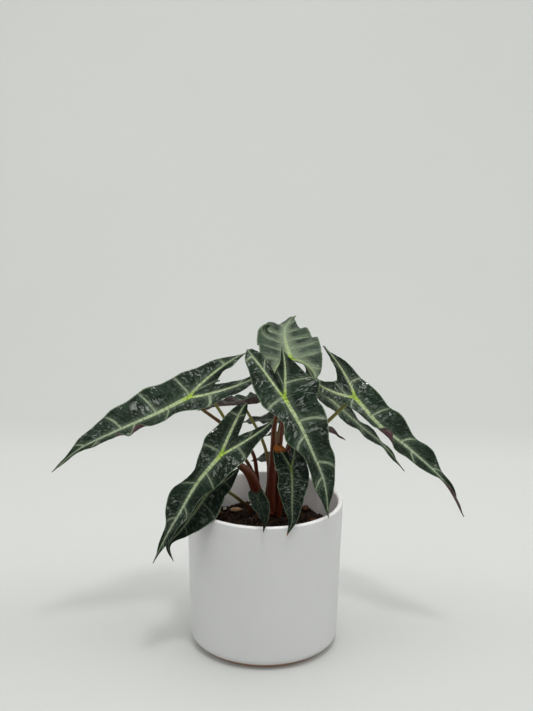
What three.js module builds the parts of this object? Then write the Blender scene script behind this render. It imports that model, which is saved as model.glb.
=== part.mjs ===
// Young alocasia in a plain cylinder pot. Millimetres, +Z up, origin at the centre of the pot's underside.
// Every leaf blade and every leaf stalk is its own solid, and so are the crown, the soil and the pot.
import * as THREE from "three";
import { mergeVertices } from "three/addons/utils/BufferGeometryUtils.js";

// Pot
const potRimRadius = 63.5;
const potBaseRadius = 60.9;
const potWall = 4.2;
const potHeight = 124.4;
const potFootRadius = 53.5;
const potFootHeight = 3.5;
const potShoulderHeight = 11;
const potFloor = 9;
const potSides = 48;

// Soil
const soilGap = 0.3;
const soilEdgeHeight = 96;
const soilMound = 6;
const soilRoughness = 1.2;
const soilRings = 7;
const soilSides = 30;
const bitLift = 1.2;

// Crown, the short stem that the stalks grow from
const crownX = 2;
const crownY = 23;
const crownBottom = 103.2;
const crownTop = 108;
const crownRadius = 11;
const crownSides = 20;

// Blades and stalks
const bladeThickness = 1.0;
const bladeColumns = 2;
const bladeSweep = 0.16;      // how far the margin runs ahead of the midrib, as a part of the blade
const rippleFade = 0.15;      // part of the blade at the tip where the margin's ripple dies away
const rippleShift = 0.3;      // the right half's ripple against the left's, in waves
const pointedLobe = [0.62, 0.25];
const stalkSides = 8;
const stalkGapUnderBlade = 0.9;

const greenBlade = { color: 0x24402c, roughness: 0.35, metalness: 0 };
const darkStalk = { color: 0x5a2a20, roughness: 0.5, metalness: 0 };
const oliveStalk = { color: 0x77702c, roughness: 0.5, metalness: 0 };

// A leaf is laid out flat first: across is the distance from the midrib, along runs from the stalk's
// junction to the tip, and behind the junction are two pointed lobes with a notch between them.
// spine: from between the lobes, through the junction, to the tip. up: the blade's facing along the spine,
// as [place, direction], where -1 is between the lobes, 0 the junction and 1 the tip.
// half: widths from the junction to the tip, the lobe's tip [across, back], and the fold in degrees.
// bulge: how far out the lobe's outer margin bulges, and where, as a part of the lobe's length.
// inner: the same for a blunt lobe's inner margin, both as parts, from the notch to the lobe's tip.
const leaves = [
  {
    name: "left_long", rows: 12, lobeRows: 5, wave: 1.5, waves: 4, notch: 23,
    spine: [[-13, 2, 236], [-61, -8, 212], [-86, -13, 200], [-120, -20, 186], [-147, -28, 174], [-168, -34, 157]],
    up: [[-1, [0.25, -0.6, 0.8]], [0.7, [0.15, -0.6, 0.8]], [1, [-0.3, -0.8, 0.4]]],
    right: { widths: [21, 22, 23, 19, 15, 8, 3], lobe: [11, 57], fold: 8, bulge: [20, 0.55] },
    left: { widths: [16, 9, 12, 12, 7, 4, 2], lobe: [14, 66], fold: 16, bulge: [25, 0.6] },
    stalk: [[-6, 21, 109], [-7, 18, 137], [-11, 11, 160], [-23, 5, 175], [-36, 0, 188], [-53, -6, 203], [-60, -7, 210]],
    radii: [1.9, 1.7, 1.5, 1.5, 1.4, 1.3], look: darkStalk,
  },
  {
    name: "left_under", rows: 8, lobeRows: 3, wave: 1, waves: 3, notch: 7,
    spine: [[-38, 24, 212], [-52, 22, 212], [-74, 22, 202], [-96, 20, 191], [-114, 16, 180]],
    up: [[-1, [0.2, -0.4, 0.9]], [1, [0.1, -0.5, 0.8]]],
    right: { widths: [11, 12, 11, 8, 5, 2], lobe: [6, 15], fold: 8, bulge: [11.5, 0.6] },
    left: { widths: [9, 10, 10, 8, 5, 2], lobe: [6, 15], fold: 8, bulge: [9.3, 0.6] },
    stalk: [[-5, 26, 109], [-10, 21, 137], [-22, 17, 161], [-34, 16, 187], [-46, 18, 205], [-51, 21, 211]],
    radii: [1.8, 1.5, 1.4, 1.3, 1.2], look: oliveStalk,
  },
  {
    name: "front_left", rows: 12, lobeRows: 5, wave: 1.5, waves: 3.5, notch: 19,
    spine: [[-7, -22, 203], [-34, -38, 175], [-52, -46, 155], [-66, -53, 132], [-77, -58, 113], [-87, -62, 93]],
    up: [[-1, [-0.3, -0.75, 0.6]], [0, [-0.3, -0.8, 0.55]], [1, [-0.4, -0.85, 0.3]]],
    right: { widths: [18, 13, 8.5, 15, 11, 5, 1.5], lobe: [12, 44], fold: 18, bulge: [19, 1], inner: [0.5, 0.8] },
    left: { widths: [21, 19, 15, 11, 9, 6, 3], lobe: [17, 45], fold: 18, bulge: [24, 1], inner: [0.65, 0.55] },
    stalk: [[-3, 15, 109], [-8, 8, 130], [-14, -2, 147], [-24, -15, 160], [-33, -35, 173]],
    radii: [4.6, 4.4, 3.4, 2.2, 1.8], look: darkStalk,
  },
  {
    name: "front_left_under", rows: 9, lobeRows: 4, wave: 1, waves: 3, notch: 13,
    spine: [[-24, -22, 168], [-42, -35, 146], [-54, -43, 130], [-66, -49, 115], [-75, -53, 104], [-71, -58, 93]],
    up: [[-1, [-0.2, -0.7, 0.65]], [0, [-0.2, -0.75, 0.6]], [1, [-0.2, -0.85, 0.4]]],
    right: { widths: [12, 11, 10, 8, 6, 4, 2], lobe: [9, 26], fold: 6, bulge: [12.3, 0.6] },
    left: { widths: [14, 17, 17, 14, 8, 3, 1], lobe: [9, 26], fold: 6, bulge: [14.5, 0.6] },
    stalk: [[-13, 23, 105], [-20, 16, 115], [-29, -4, 130], [-37, -24, 142], [-42, -34, 145]],
    radii: [1.5, 1.3, 1.2, 1.2], look: oliveStalk,
  },
  {
    name: "centre_front", rows: 12, lobeRows: 5, wave: 1.2, waves: 4, notch: 21,
    spine: [[-1, -14, 252], [14, -29, 219], [26, -37, 200], [37, -42, 177], [46, -45, 155], [50, -47, 126]],
    up: [[-1, [0.35, -0.8, 0.5]], [0, [0.3, -0.8, 0.5]], [1, [0.2, -0.9, 0.3]]],
    right: { widths: [25, 14, 20, 11, 9.5, 11, 5], lobe: [17, 44], fold: 20, bulge: [28, 0.98], inner: [0, 0.9] },
    left: { widths: [31, 25, 21, 16, 14, 8.5, 2.5], lobe: [13, 38], fold: 25, bulge: [18, 0.4] },
    stalk: [[5, 19, 109], [5, 17, 133], [6, 8, 163], [7, -5, 190], [11, -21, 210], [13, -27, 217]],
    radii: [3.4, 2.6, 2.3, 2, 1.7], look: darkStalk,
  },
  {
    name: "top_back", rows: 11, lobeRows: 5, wave: 2, waves: 3.5, notch: 5,
    spine: [[20, -20, 226], [19, 10, 240], [16, 36, 244], [15, 70, 248], [19, 90, 251], [25, 104, 253]],
    up: [[-1, [0.05, 0.15, 1]], [0, [0.05, -0.05, 1]], [1, [0.05, 0.1, 1]]],
    right: { widths: [25, 27, 26, 23, 18, 11, 4], lobe: [18.5, 30], fold: 12, bulge: [26, 0.7], inner: [0.85, 0.1] },
    left: { widths: [26, 26, 25, 23, 18, 11, 3], lobe: [13.5, 26], fold: 12, bulge: [26, 0.7] },
    stalk: [[8, 25, 109], [11, 24, 150], [15, 18, 200], [18, 12, 238]],
    radii: [2.2, 1.8, 1.6, 1.4], look: darkStalk,
  },
  {
    name: "right_long", rows: 12, lobeRows: 5, wave: 1.5, waves: 4, notch: 20,
    spine: [[41, 14, 236], [71, 6, 209], [91, 0, 188], [116, -8, 170], [145, -16, 144], [160, -20, 118]],
    up: [[-1, [0.1, -0.65, 0.75]], [0, [0, -0.7, 0.75]], [0.7, [0.2, -0.65, 0.7]], [1, [0.6, -0.6, 0.3]]],
    right: { widths: [11, 6, 9, 11, 8, 4, 2], lobe: [18, 37], fold: 14, bulge: [25, 0.5] },
    left: { widths: [16, 17, 18, 12, 11, 5, 2], lobe: [13.5, 47], fold: 12, bulge: [17, 0.55] },
    stalk: [[12, 19, 109], [14, 22, 135], [21, 20, 158], [36, 17, 172], [50, 13, 186], [64, 8, 202], [70, 7, 207]],
    radii: [2.4, 2, 1.8, 1.6, 1.5, 1.4], look: oliveStalk,
  },
  {
    name: "right_under", rows: 10, lobeRows: 4, wave: 1.2, waves: 4, notch: 14,
    spine: [[22, 52, 226], [43, 50, 204], [62, 48, 187], [81, 45, 171], [100, 41, 156], [117, 35, 136]],
    up: [[-1, [0.25, -0.35, 0.9]], [1, [0.4, -0.4, 0.8]]],
    right: { widths: [12, 12, 11, 10, 8, 6, 3], lobe: [8, 26], fold: 5, bulge: [12.5, 0.6] },
    left: { widths: [10, 9, 8, 6, 5, 3, 1], lobe: [9, 26], fold: 5, bulge: [10, 0.6] },
    stalk: [[11, 29, 109], [14, 34, 140], [22, 28, 165], [31, 34, 188], [42, 49, 202]],
    radii: [1.8, 1.6, 1.4, 1.2], look: darkStalk,
  },
  {
    name: "back_left", rows: 8, lobeRows: 4, wave: 1.5, waves: 3, notch: 12,
    spine: [[8, 46, 192], [-19, 52, 188], [-32, 59, 185], [-46, 66, 181], [-59, 71, 176]],
    up: [[-1, [0, -0.1, 1]], [0.3, [0, -0.05, 1]], [0.7, [0, 0.35, 0.95]], [1, [0, 0.5, 0.9]]],
    right: { widths: [17, 17, 15, 11, 7, 3], lobe: [13, 42], fold: 12, bulge: [17.5, 0.6] },
    left: { widths: [15, 15, 14, 11, 7, 3], lobe: [13, 42], fold: 40, bulge: [15, 0.6] },
    stalk: [[1, 31, 109], [3, 32, 129], [1, 34, 150], [-5, 38, 166], [-12, 44, 177], [-18, 51, 186]],
    radii: [1.8, 1.5, 1.3, 1.1], look: oliveStalk,
  },
  {
    name: "back_middle", rows: 8, lobeRows: 4, wave: 1.2, waves: 3, notch: 9,
    spine: [[31, 46, 176], [13, 51, 175], [0, 56, 173], [-14, 61, 170], [-28, 66, 166]],
    up: [[-1, [0, -0.1, 1]], [1, [0, -0.1, 1]]],
    right: { widths: [14, 14, 12, 9, 5, 2], lobe: [11, 22], fold: 8, bulge: [14.5, 0.6] },
    left: { widths: [12, 12, 10, 8, 5, 2], lobe: [11, 22], fold: 12, bulge: [12, 0.6] },
    stalk: [[4, 33, 109], [6, 36, 135], [9, 40, 157], [12, 48, 172]],
    radii: [1.7, 1.4, 1.2], look: darkStalk,
  },
  {
    name: "back_right", rows: 8, lobeRows: 4, wave: 1, waves: 3, notch: 9,
    spine: [[4, 54, 158], [22, 61, 160], [38, 70, 159], [56, 80, 155], [70, 88, 145]],
    up: [[-1, [0, 0.25, 1]], [1, [0, 0.4, 0.9]]],
    right: { widths: [11, 11, 10, 8, 5, 2], lobe: [9, 22], fold: 30, bulge: [11.5, 0.6] },
    left: { widths: [11, 11, 10, 8, 5, 2], lobe: [9, 22], fold: 8, bulge: [11.5, 0.6] },
    stalk: [[9, 34, 109], [13, 45, 135], [20, 56, 154], [22, 61, 158]],
    radii: [1.6, 1.4, 1.2], look: darkStalk,
  },
  {
    name: "behind_stalks", rows: 6, lobeRows: 3, wave: 0.6, waves: 2, notch: 5,
    spine: [[22, 56, 137], [8, 60, 138], [-2, 66, 136], [-13, 72, 130]],
    up: [[-1, [0, -0.25, 1]], [1, [0, -0.3, 1]]],
    right: { widths: [10, 10, 8, 5, 2], lobe: [7, 14], fold: 5, bulge: [10.5, 0.6] },
    left: { widths: [10, 10, 8, 5, 2], lobe: [7, 14], fold: 5, bulge: [10.5, 0.6] },
    stalk: [[2, 35, 107], [5, 46, 124], [8, 60, 136]],
    radii: [1.4, 1.2, 1], look: darkStalk,
  },
  {
    name: "small_front", rows: 9, lobeRows: 4, wave: 1, waves: 3, notch: 10,
    spine: [[17, -28, 178], [20, -38, 165], [21, -47, 150], [21, -55, 138], [21, -61, 129], [17, -67, 119]],
    up: [[-1, [0, -0.8, 0.6]], [0, [0, -0.85, 0.55]], [1, [0, -0.9, 0.4]]],
    right: { widths: [13, 11, 12, 10, 7, 4, 2], lobe: [7, 20], fold: 18, bulge: [14.5, 0.95], inner: [0.2, 0.8] },
    left: { widths: [13, 14, 13, 10, 8, 5, 2], lobe: [6, 19], fold: 18, bulge: [14, 0.9], inner: [0.2, 0.8] },
    stalk: [[12, 14, 107], [16, 4, 130], [19, -17, 152], [20, -36, 164]],
    radii: [1.7, 1.5, 1.3], look: darkStalk,
  },
  {
    name: "tiny_front", rows: 7, lobeRows: 3, wave: 0.5, waves: 2, notch: 2.5,
    spine: [[-7, -54, 152], [-6, -58, 148], [-3, -62, 142], [-1, -65, 136], [0, -67, 131], [-1, -70, 123]],
    up: [[-1, [-0.1, -0.8, 0.5]], [0, [-0.1, -0.85, 0.5]], [1, [0, -0.9, 0.3]]],
    right: { widths: [7, 7, 7, 5, 4, 2, 1], lobe: [4, 6], fold: 25, bulge: [7.5, 0.6] },
    left: { widths: [6, 7, 7, 6, 4, 2, 1], lobe: [4, 6], fold: 25, bulge: [6.5, 0.6] },
    stalk: [[3, 10, 105], [1, -2, 122], [-3, -30, 142], [-6, -56, 147]],
    radii: [1.2, 1, 0.9], look: darkStalk,
  },
];

// Loose bits on the soil: [name, x, y, half sizes, turn in degrees, colour]
const bits = [
  ["wood_chip", -24, 30, [6, 2.6, 1.6], 20, 0xb08a58],
  ["bark_chip_1", 34, 34, [5, 3, 2], 60, 0x3a2418],
  ["bark_chip_2", -38, 22, [4, 2.6, 1.8], -30, 0x4a2c1c],
  ["bark_chip_3", 40, 12, [4.5, 2.4, 1.8], 10, 0x2e1c14],
  ["perlite_1", -34, 34, [1.8, 1.6, 1.4], 0, 0xe4e0d6],
  ["perlite_2", -12, 40, [1.5, 1.4, 1.2], 40, 0xe4e0d6],
  ["perlite_3", 26, 22, [1.4, 1.5, 1.2], 15, 0xe4e0d6],
];

const mergeDistance = 0.002;
const curveSteps = 400;

const plant = new THREE.Group();

function addPiece(name, geometry, look) {
  const mesh = new THREE.Mesh(geometry, new THREE.MeshStandardMaterial(look));
  mesh.name = name;
  plant.add(mesh);
  return mesh;
}

// Height of the soil's top at a place: low at the wall, mounded round the crown.
function soilTop(x, y) {
  const away = Math.hypot(x - crownX, y - crownY) / potRimRadius;
  const bumps = Math.sin(x * 0.31 + 1) * Math.cos(y * 0.27) + 0.5 * Math.sin(x * 0.11 - y * 0.19);
  return soilEdgeHeight + soilMound * Math.exp(-3 * away * away) + soilRoughness * bumps * Math.min(1, away * 2);
}

function makePot() {
  const profile = new THREE.Path();
  const rimRadius = potWall / 2;
  profile.moveTo(0, 0);
  profile.lineTo(potFootRadius, 0);
  profile.lineTo(potFootRadius, potFootHeight);
  profile.quadraticCurveTo(potBaseRadius, potFootHeight, potBaseRadius, potShoulderHeight);
  profile.lineTo(potRimRadius, potHeight - rimRadius);
  profile.absarc(potRimRadius - rimRadius, potHeight - rimRadius, rimRadius, 0, Math.PI, false);
  profile.lineTo(potBaseRadius - potWall, potShoulderHeight + potFloor);
  profile.lineTo(potBaseRadius - 2 * potWall, potFloor);
  profile.lineTo(0, potFloor);
  const outline = profile.getPoints(5);
  const turned = new THREE.LatheGeometry(outline, potSides);
  turned.rotateX(Math.PI / 2);
  return turned;
}

function makeSoil() {
  const wallRadius = (z) => {
    const rise = (z - potShoulderHeight) / (potHeight - potShoulderHeight);
    return THREE.MathUtils.lerp(potBaseRadius, potRimRadius, rise) - potWall - soilGap;
  };
  const bottom = potFloor + soilGap;
  const lowerRim = potShoulderHeight + potFloor + soilGap;
  const points = [];
  const faces = [];
  const addRing = (radius, height) => {
    for (let i = 0; i < soilSides; i += 1) {
      const turn = (2 * Math.PI * i) / soilSides;
      const x = radius * Math.cos(turn);
      const y = radius * Math.sin(turn);
      points.push([x, y, height ?? soilTop(x, y)]);
    }
  };
  // Inside the pot's faceted wall, so the radius is the distance to the middle of a facet.
  const facet = Math.cos(Math.PI / potSides);
  addRing((potBaseRadius - 2 * potWall) * facet - soilGap, bottom);
  addRing(wallRadius(lowerRim) * facet - 0.2, lowerRim);
  const edge = wallRadius(soilEdgeHeight) * facet - 0.4;
  for (let ring = 0; ring < soilRings; ring += 1) {
    addRing(edge * (1 - ring / soilRings));
  }
  const low = points.push([0, 0, bottom]) - 1;
  const high = points.push([0, 0, soilTop(0, 0)]) - 1;
  const rings = soilRings + 2;
  for (let i = 0; i < soilSides; i += 1) {
    const next = (i + 1) % soilSides;
    faces.push([low, next, i]);
    for (let ring = 0; ring < rings - 1; ring += 1) {
      const here = ring * soilSides;
      const above = here + soilSides;
      faces.push([here + i, here + next, above + next], [here + i, above + next, above + i]);
    }
    const last = (rings - 1) * soilSides;
    faces.push([last + i, last + next, high]);
  }
  return closedGeometry(points, faces);
}

// A BufferGeometry from points and triangles, with shared corners merged and collapsed triangles dropped.
function closedGeometry(points, faces) {
  const raw = new THREE.BufferGeometry();
  raw.setAttribute("position", new THREE.Float32BufferAttribute(points.flat(), 3));
  raw.setIndex(faces.flat());
  const merged = mergeVertices(raw, mergeDistance);
  const corners = merged.index.array;
  const kept = [];
  for (let i = 0; i < corners.length; i += 3) {
    const [a, b, c] = [corners[i], corners[i + 1], corners[i + 2]];
    if (a !== b && b !== c && c !== a) {
      kept.push(a, b, c);
    }
  }
  merged.setIndex(kept);
  merged.computeVertexNormals();
  return merged;
}

// Round tube along a smooth curve, closed at both ends, with a radius that changes along it.
function makeStalk(stations, radii) {
  const curve = new THREE.CatmullRomCurve3(stations.map((p) => new THREE.Vector3(...p)));
  const steps = 2 * stations.length;
  const frames = curve.computeFrenetFrames(steps, false);
  const points = [];
  const faces = [];
  for (let step = 0; step <= steps; step += 1) {
    const centre = curve.getPointAt(step / steps);
    const radius = smoothValue(radii, step / steps);
    for (let side = 0; side < stalkSides; side += 1) {
      const turn = (2 * Math.PI * side) / stalkSides;
      const point = centre
        .clone()
        .addScaledVector(frames.normals[step], radius * Math.cos(turn))
        .addScaledVector(frames.binormals[step], radius * Math.sin(turn));
      points.push(point.toArray());
    }
  }
  const start = points.push(curve.getPointAt(0).toArray()) - 1;
  const end = points.push(curve.getPointAt(1).toArray()) - 1;
  for (let side = 0; side < stalkSides; side += 1) {
    const next = (side + 1) % stalkSides;
    faces.push([start, next, side]);
    for (let step = 0; step < steps; step += 1) {
      const here = step * stalkSides;
      const ahead = here + stalkSides;
      faces.push([here + side, here + next, ahead + next], [here + side, ahead + next, ahead + side]);
    }
    const last = steps * stalkSides;
    faces.push([last + side, last + next, end]);
  }
  return closedGeometry(points, faces);
}

// Smooth value from evenly spaced ones, at a place from 0 to 1.
function smoothValue(values, place) {
  const last = values.length - 1;
  const scaled = Math.min(Math.max(place, 0), 1) * last;
  const cell = Math.min(Math.floor(scaled), last - 1);
  const t = scaled - cell;
  const before = cell > 0 ? values[cell - 1] : 2 * values[0] - values[1];
  const after = cell + 2 <= last ? values[cell + 2] : 2 * values[last] - values[last - 1];
  const [a, b] = [values[cell], values[cell + 1]];
  const bend = 2 * before - 5 * a + 4 * b - after;
  const twist = 3 * a - before - 3 * b + after;
  return 0.5 * (2 * a + (b - before) * t + bend * t * t + twist * t * t * t);
}

function smoothStep(x) {
  const t = Math.min(Math.max(x, 0), 1);
  return t * t * (3 - 2 * t);
}

// Evenly stepped points on a curve with one control point.
function bend(start, control, end, steps) {
  const curve = new THREE.QuadraticBezierCurve(
    new THREE.Vector2(...start), new THREE.Vector2(...control), new THREE.Vector2(...end));
  return curve.getSpacedPoints(steps).map((p) => [p.x, p.y]);
}

// The curve down the middle of a blade, with the blade's facing along it.
function makeSpine(leaf) {
  const curve = new THREE.CatmullRomCurve3(leaf.spine.map((p) => new THREE.Vector3(...p)));
  curve.arcLengthDivisions = curveSteps;
  const total = curve.getLength();
  const lengths = curve.getLengths(curveSteps);
  const behind = lengths[Math.round(curveSteps / (leaf.spine.length - 1))];
  const ahead = total - behind;
  const directions = leaf.up.map(([place, direction]) => [
    place * (place > 0 ? ahead : behind), new THREE.Vector3(...direction).normalize()]);
  const facing = (along) => {
    let next = directions.findIndex(([place]) => place >= along);
    if (next < 0) {
      next = directions.length - 1;
    }
    const [endPlace, endUp] = directions[Math.max(next, 1)];
    const [startPlace, startUp] = directions[Math.max(next, 1) - 1];
    const t = THREE.MathUtils.clamp((along - startPlace) / (endPlace - startPlace), 0, 1);
    return startUp.clone().lerp(endUp, t);
  };
  const at = (along) => {
    const inside = THREE.MathUtils.clamp(along, -behind, ahead);
    const place = (inside + behind) / total;
    const forward = curve.getTangentAt(place);
    const point = curve.getPointAt(place).addScaledVector(forward, along - inside);
    const up = facing(along);
    up.addScaledVector(forward, -up.dot(forward)).normalize();
    const side = new THREE.Vector3().crossVectors(forward, up).normalize();
    return { point, up, side };
  };
  return { ahead, at };
}

// One half of the flat blade as rows of [midrib or lobe vein point, margin point].
function halfRows(leaf, half, length) {
  const widths = [...half.widths, 0];
  const [lobeOut, lobeBack] = half.lobe;
  const shoulder = widths[0];
  const [hollow, hollowPlace] = half.inner ?? pointedLobe;
  const inner = bend(
    [0, -leaf.notch], [hollow * lobeOut, -leaf.notch - hollowPlace * (lobeBack - leaf.notch)],
    [lobeOut, -lobeBack], leaf.lobeRows);
  const [bulge, bulgePlace] = half.bulge;
  const outer = bend([lobeOut, -lobeBack], [bulge, -bulgePlace * lobeBack], [shoulder, 0], leaf.lobeRows);
  const vein = inner.map(([across, along], i) => {
    const facing = outer[leaf.lobeRows - i];
    const start = (1 - i / leaf.lobeRows) ** 1.5;
    return [(across + facing[0] - start * shoulder) / 2, (along + facing[1] + start * leaf.notch) / 2];
  });
  const rows = inner.map((margin, i) => [vein[i], margin]);
  for (let i = 1; i <= leaf.lobeRows; i += 1) {
    rows.push([vein[leaf.lobeRows - i], outer[i]]);
  }
  for (let i = 1; i <= leaf.rows; i += 1) {
    const place = i / leaf.rows;
    const swept = place + bladeSweep * place * (1 - place);
    rows.push([[0, place * length], [Math.max(smoothValue(widths, swept), 0), swept * length]]);
  }
  return rows;
}

// Blade as a thin closed sheet: the same rows on its upper and lower face, joined round the margin.
function makeBlade(leaf) {
  const spine = makeSpine(leaf);
  const points = [];
  const faces = [];
  for (const sign of [1, -1]) {
    const half = sign > 0 ? leaf.right : leaf.left;
    const fold = THREE.MathUtils.degToRad(half.fold);
    const rows = halfRows(leaf, half, spine.ahead);
    const corners = rows.map(([root, margin], row) => {
      const line = [];
      for (let column = 0; column <= bladeColumns; column += 1) {
        const out = column / bladeColumns;
        const across = THREE.MathUtils.lerp(root[0], margin[0], out);
        const along = THREE.MathUtils.lerp(root[1], margin[1], out);
        const inLobe = Math.min(row / leaf.lobeRows, 1);
        const phase = (along / spine.ahead) * leaf.waves + (sign > 0 ? rippleShift : 0);
        const fade = smoothStep((spine.ahead - along) / (rippleFade * spine.ahead)) * (out * inLobe) ** 2;
        const ripple = leaf.wave * Math.sin(2 * Math.PI * phase) * fade;
        const { point, up, side } = spine.at(along);
        point.addScaledVector(side, sign * across * Math.cos(fold));
        point.addScaledVector(up, across * Math.sin(fold) + ripple);
        const top = points.push(point.toArray()) - 1;
        const low = points.push(point.addScaledVector(up, -bladeThickness).toArray()) - 1;
        line.push([top, low]);
      }
      return line;
    });
    const quad = (a, b, c, d) => faces.push(...(sign > 0 ? [[a, b, c], [a, c, d]] : [[a, c, b], [a, d, c]]));
    for (let row = 0; row < rows.length - 1; row += 1) {
      for (let column = 0; column < bladeColumns; column += 1) {
        const [a, b] = [corners[row][column], corners[row][column + 1]];
        const [d, c] = [corners[row + 1][column], corners[row + 1][column + 1]];
        quad(a[0], b[0], c[0], d[0]);
        quad(a[1], d[1], c[1], b[1]);
      }
      const [edge, next] = [corners[row][bladeColumns], corners[row + 1][bladeColumns]];
      quad(edge[0], edge[1], next[1], next[0]);
    }
  }
  return closedGeometry(points, faces);
}

function makeCrown() {
  const height = crownTop - crownBottom;
  const outline = [[0, 0], [0.8, 0], [1, 0.35], [0.95, 0.8], [0.75, 1], [0, 1]];
  const profile = outline.map(([out, up]) => new THREE.Vector2(out * crownRadius, up * height));
  const turned = new THREE.LatheGeometry(profile, crownSides);
  turned.rotateX(Math.PI / 2);
  turned.translate(crownX, crownY, crownBottom);
  return turned;
}

addPiece("pot", makePot(), { color: 0xc9c9cb, roughness: 0.45, metalness: 0 });
addPiece("soil", makeSoil(), { color: 0x2b1c14, roughness: 0.95, metalness: 0 });
addPiece("crown", makeCrown(), darkStalk);

for (const leaf of leaves) {
  addPiece(`leaf_${leaf.name}`, makeBlade(leaf), greenBlade);
  const stations = leaf.stalk.map((p) => [...p]);
  stations.at(-1)[2] -= bladeThickness + stalkGapUnderBlade;
  addPiece(`stalk_${leaf.name}`, makeStalk(stations, leaf.radii), leaf.look);
}

for (const [name, x, y, halfSizes, turn, color] of bits) {
  const bit = new THREE.DodecahedronGeometry(1, 0);
  bit.scale(...halfSizes);
  bit.rotateZ(THREE.MathUtils.degToRad(turn));
  bit.translate(x, y, soilTop(x, y) + halfSizes[2] + bitLift);
  addPiece(name, bit, { color, roughness: 0.9, metalness: 0 });
}

export default plant;
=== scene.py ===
import bpy
import bmesh
import math
import numpy as np
from mathutils import Vector, Matrix


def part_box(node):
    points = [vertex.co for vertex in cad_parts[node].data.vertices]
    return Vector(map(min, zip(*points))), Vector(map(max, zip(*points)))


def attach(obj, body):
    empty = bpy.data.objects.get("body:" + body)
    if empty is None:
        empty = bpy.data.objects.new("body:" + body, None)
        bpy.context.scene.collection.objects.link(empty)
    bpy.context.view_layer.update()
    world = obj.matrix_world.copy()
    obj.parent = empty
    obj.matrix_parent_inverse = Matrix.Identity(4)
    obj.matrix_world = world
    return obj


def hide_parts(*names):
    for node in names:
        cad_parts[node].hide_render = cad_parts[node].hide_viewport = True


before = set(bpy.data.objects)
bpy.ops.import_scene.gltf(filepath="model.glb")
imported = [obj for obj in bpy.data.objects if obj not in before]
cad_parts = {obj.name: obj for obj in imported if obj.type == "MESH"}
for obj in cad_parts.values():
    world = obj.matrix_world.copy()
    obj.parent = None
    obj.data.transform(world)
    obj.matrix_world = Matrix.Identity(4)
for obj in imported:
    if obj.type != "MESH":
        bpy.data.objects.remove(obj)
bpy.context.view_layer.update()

mm = 0.001
print("frame loaded:", len(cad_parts), "nodes")


# shader and geometry node helpers

class Signal:
    # wraps one socket, so that sums on sockets are written as sums
    def __init__(self, tree, socket):
        self.tree = tree
        self.socket = socket

    def maths(self, operation, *others, swap=False):
        values = [self, *others]
        if swap:
            values.reverse()
        return addNode(self.tree, "ShaderNodeMath", {"operation": operation}, *values)

    def __add__(self, other):
        return self.maths("ADD", other)

    def __sub__(self, other):
        return self.maths("SUBTRACT", other)

    def __rsub__(self, other):
        return self.maths("SUBTRACT", other, swap=True)

    def __mul__(self, other):
        return self.maths("MULTIPLY", other)

    def __truediv__(self, other):
        return self.maths("DIVIDE", other)

    __radd__ = __add__
    __rmul__ = __mul__

    def absolute(self):
        return self.maths("ABSOLUTE")

    def fract(self):
        return self.maths("FRACT")

    def step(self, low, high, start=0.0, end=1.0):
        # eases from start to end while the value goes from low to high
        settings = {"interpolation_type": "SMOOTHSTEP"}
        return addNode(self.tree, "ShaderNodeMapRange", settings, self, low, high, start, end)

    def out(self, name):
        return Signal(self.tree, self.socket.node.outputs[name])


def addNode(tree, kind, settings=None, *values, output=0, **named):
    node = tree.nodes.new(kind)
    for key, value in (settings or {}).items():
        if key == "stops":
            ramp = node.color_ramp
            while len(ramp.elements) < len(value):
                ramp.elements.new(0.5)
            for element, (place, colour) in zip(ramp.elements, value):
                element.position = place
                element.color = (*colour, 1.0)
        else:
            setattr(node, key, value)
    filled = dict(enumerate(values))
    filled.update({key.replace("_", " "): value for key, value in named.items()})
    for key, value in filled.items():
        if value is None:
            continue
        target = node.inputs[key]
        if isinstance(value, Signal):
            tree.links.new(value.socket, target)
        else:
            target.default_value = value
    return Signal(tree, node.outputs[output])


def mixColour(tree, factor, first, second, blend="MIX"):
    settings = {"data_type": "RGBA", "blend_type": blend}
    colours = [value if isinstance(value, Signal) else (*value, 1.0) for value in (first, second)]
    return addNode(tree, "ShaderNodeMix", settings, factor, None, None, None, None, None, *colours, output=2)


class Finish:
    # a material being built: its tree, its shader and its patterns
    def __init__(self, name, **constants):
        self.material = bpy.data.materials.new(name)
        self.material.use_nodes = True
        self.tree = self.material.node_tree
        self.shader = self.tree.nodes["Principled BSDF"]
        for key, value in constants.items():
            self.shader.inputs[key.replace("_", " ")].default_value = value
        self.place = addNode(self.tree, "ShaderNodeTexCoord", output=3)

    def stretched(self, x, y, z):
        return addNode(self.tree, "ShaderNodeVectorMath", {"operation": "MULTIPLY"}, self.place, (x, y, z))

    def noise(self, scale, detail=3.0, roughness=0.5, where=None, distortion=0.0):
        return addNode(self.tree, "ShaderNodeTexNoise", None, Vector=where or self.place, Scale=scale,
                       Detail=detail, Roughness=roughness, Distortion=distortion)

    def cells(self, scale, feature="F1"):
        settings = {"feature": feature}
        return addNode(self.tree, "ShaderNodeTexVoronoi", settings, Vector=self.place, Scale=scale)

    def ramp(self, factor, stops):
        return addNode(self.tree, "ShaderNodeValToRGB", {"stops": stops}, factor)

    def attribute(self, name):
        return addNode(self.tree, "ShaderNodeAttribute", {"attribute_name": name}, output=2)

    def mix(self, factor, first, second, blend="MIX"):
        return mixColour(self.tree, factor, first, second, blend)

    def bump(self, height, strength, distance, under=None):
        return addNode(self.tree, "ShaderNodeBump", None, Height=height, Strength=strength,
                       Distance=distance, Normal=under)

    def finish(self, colour, roughness, normal, coat=None):
        sockets = {"Base Color": colour, "Roughness": roughness, "Normal": normal, "Coat Weight": coat}
        for name, signal in sockets.items():
            if signal is not None:
                self.tree.links.new(signal.socket, self.shader.inputs[name])
        return self.material


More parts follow.
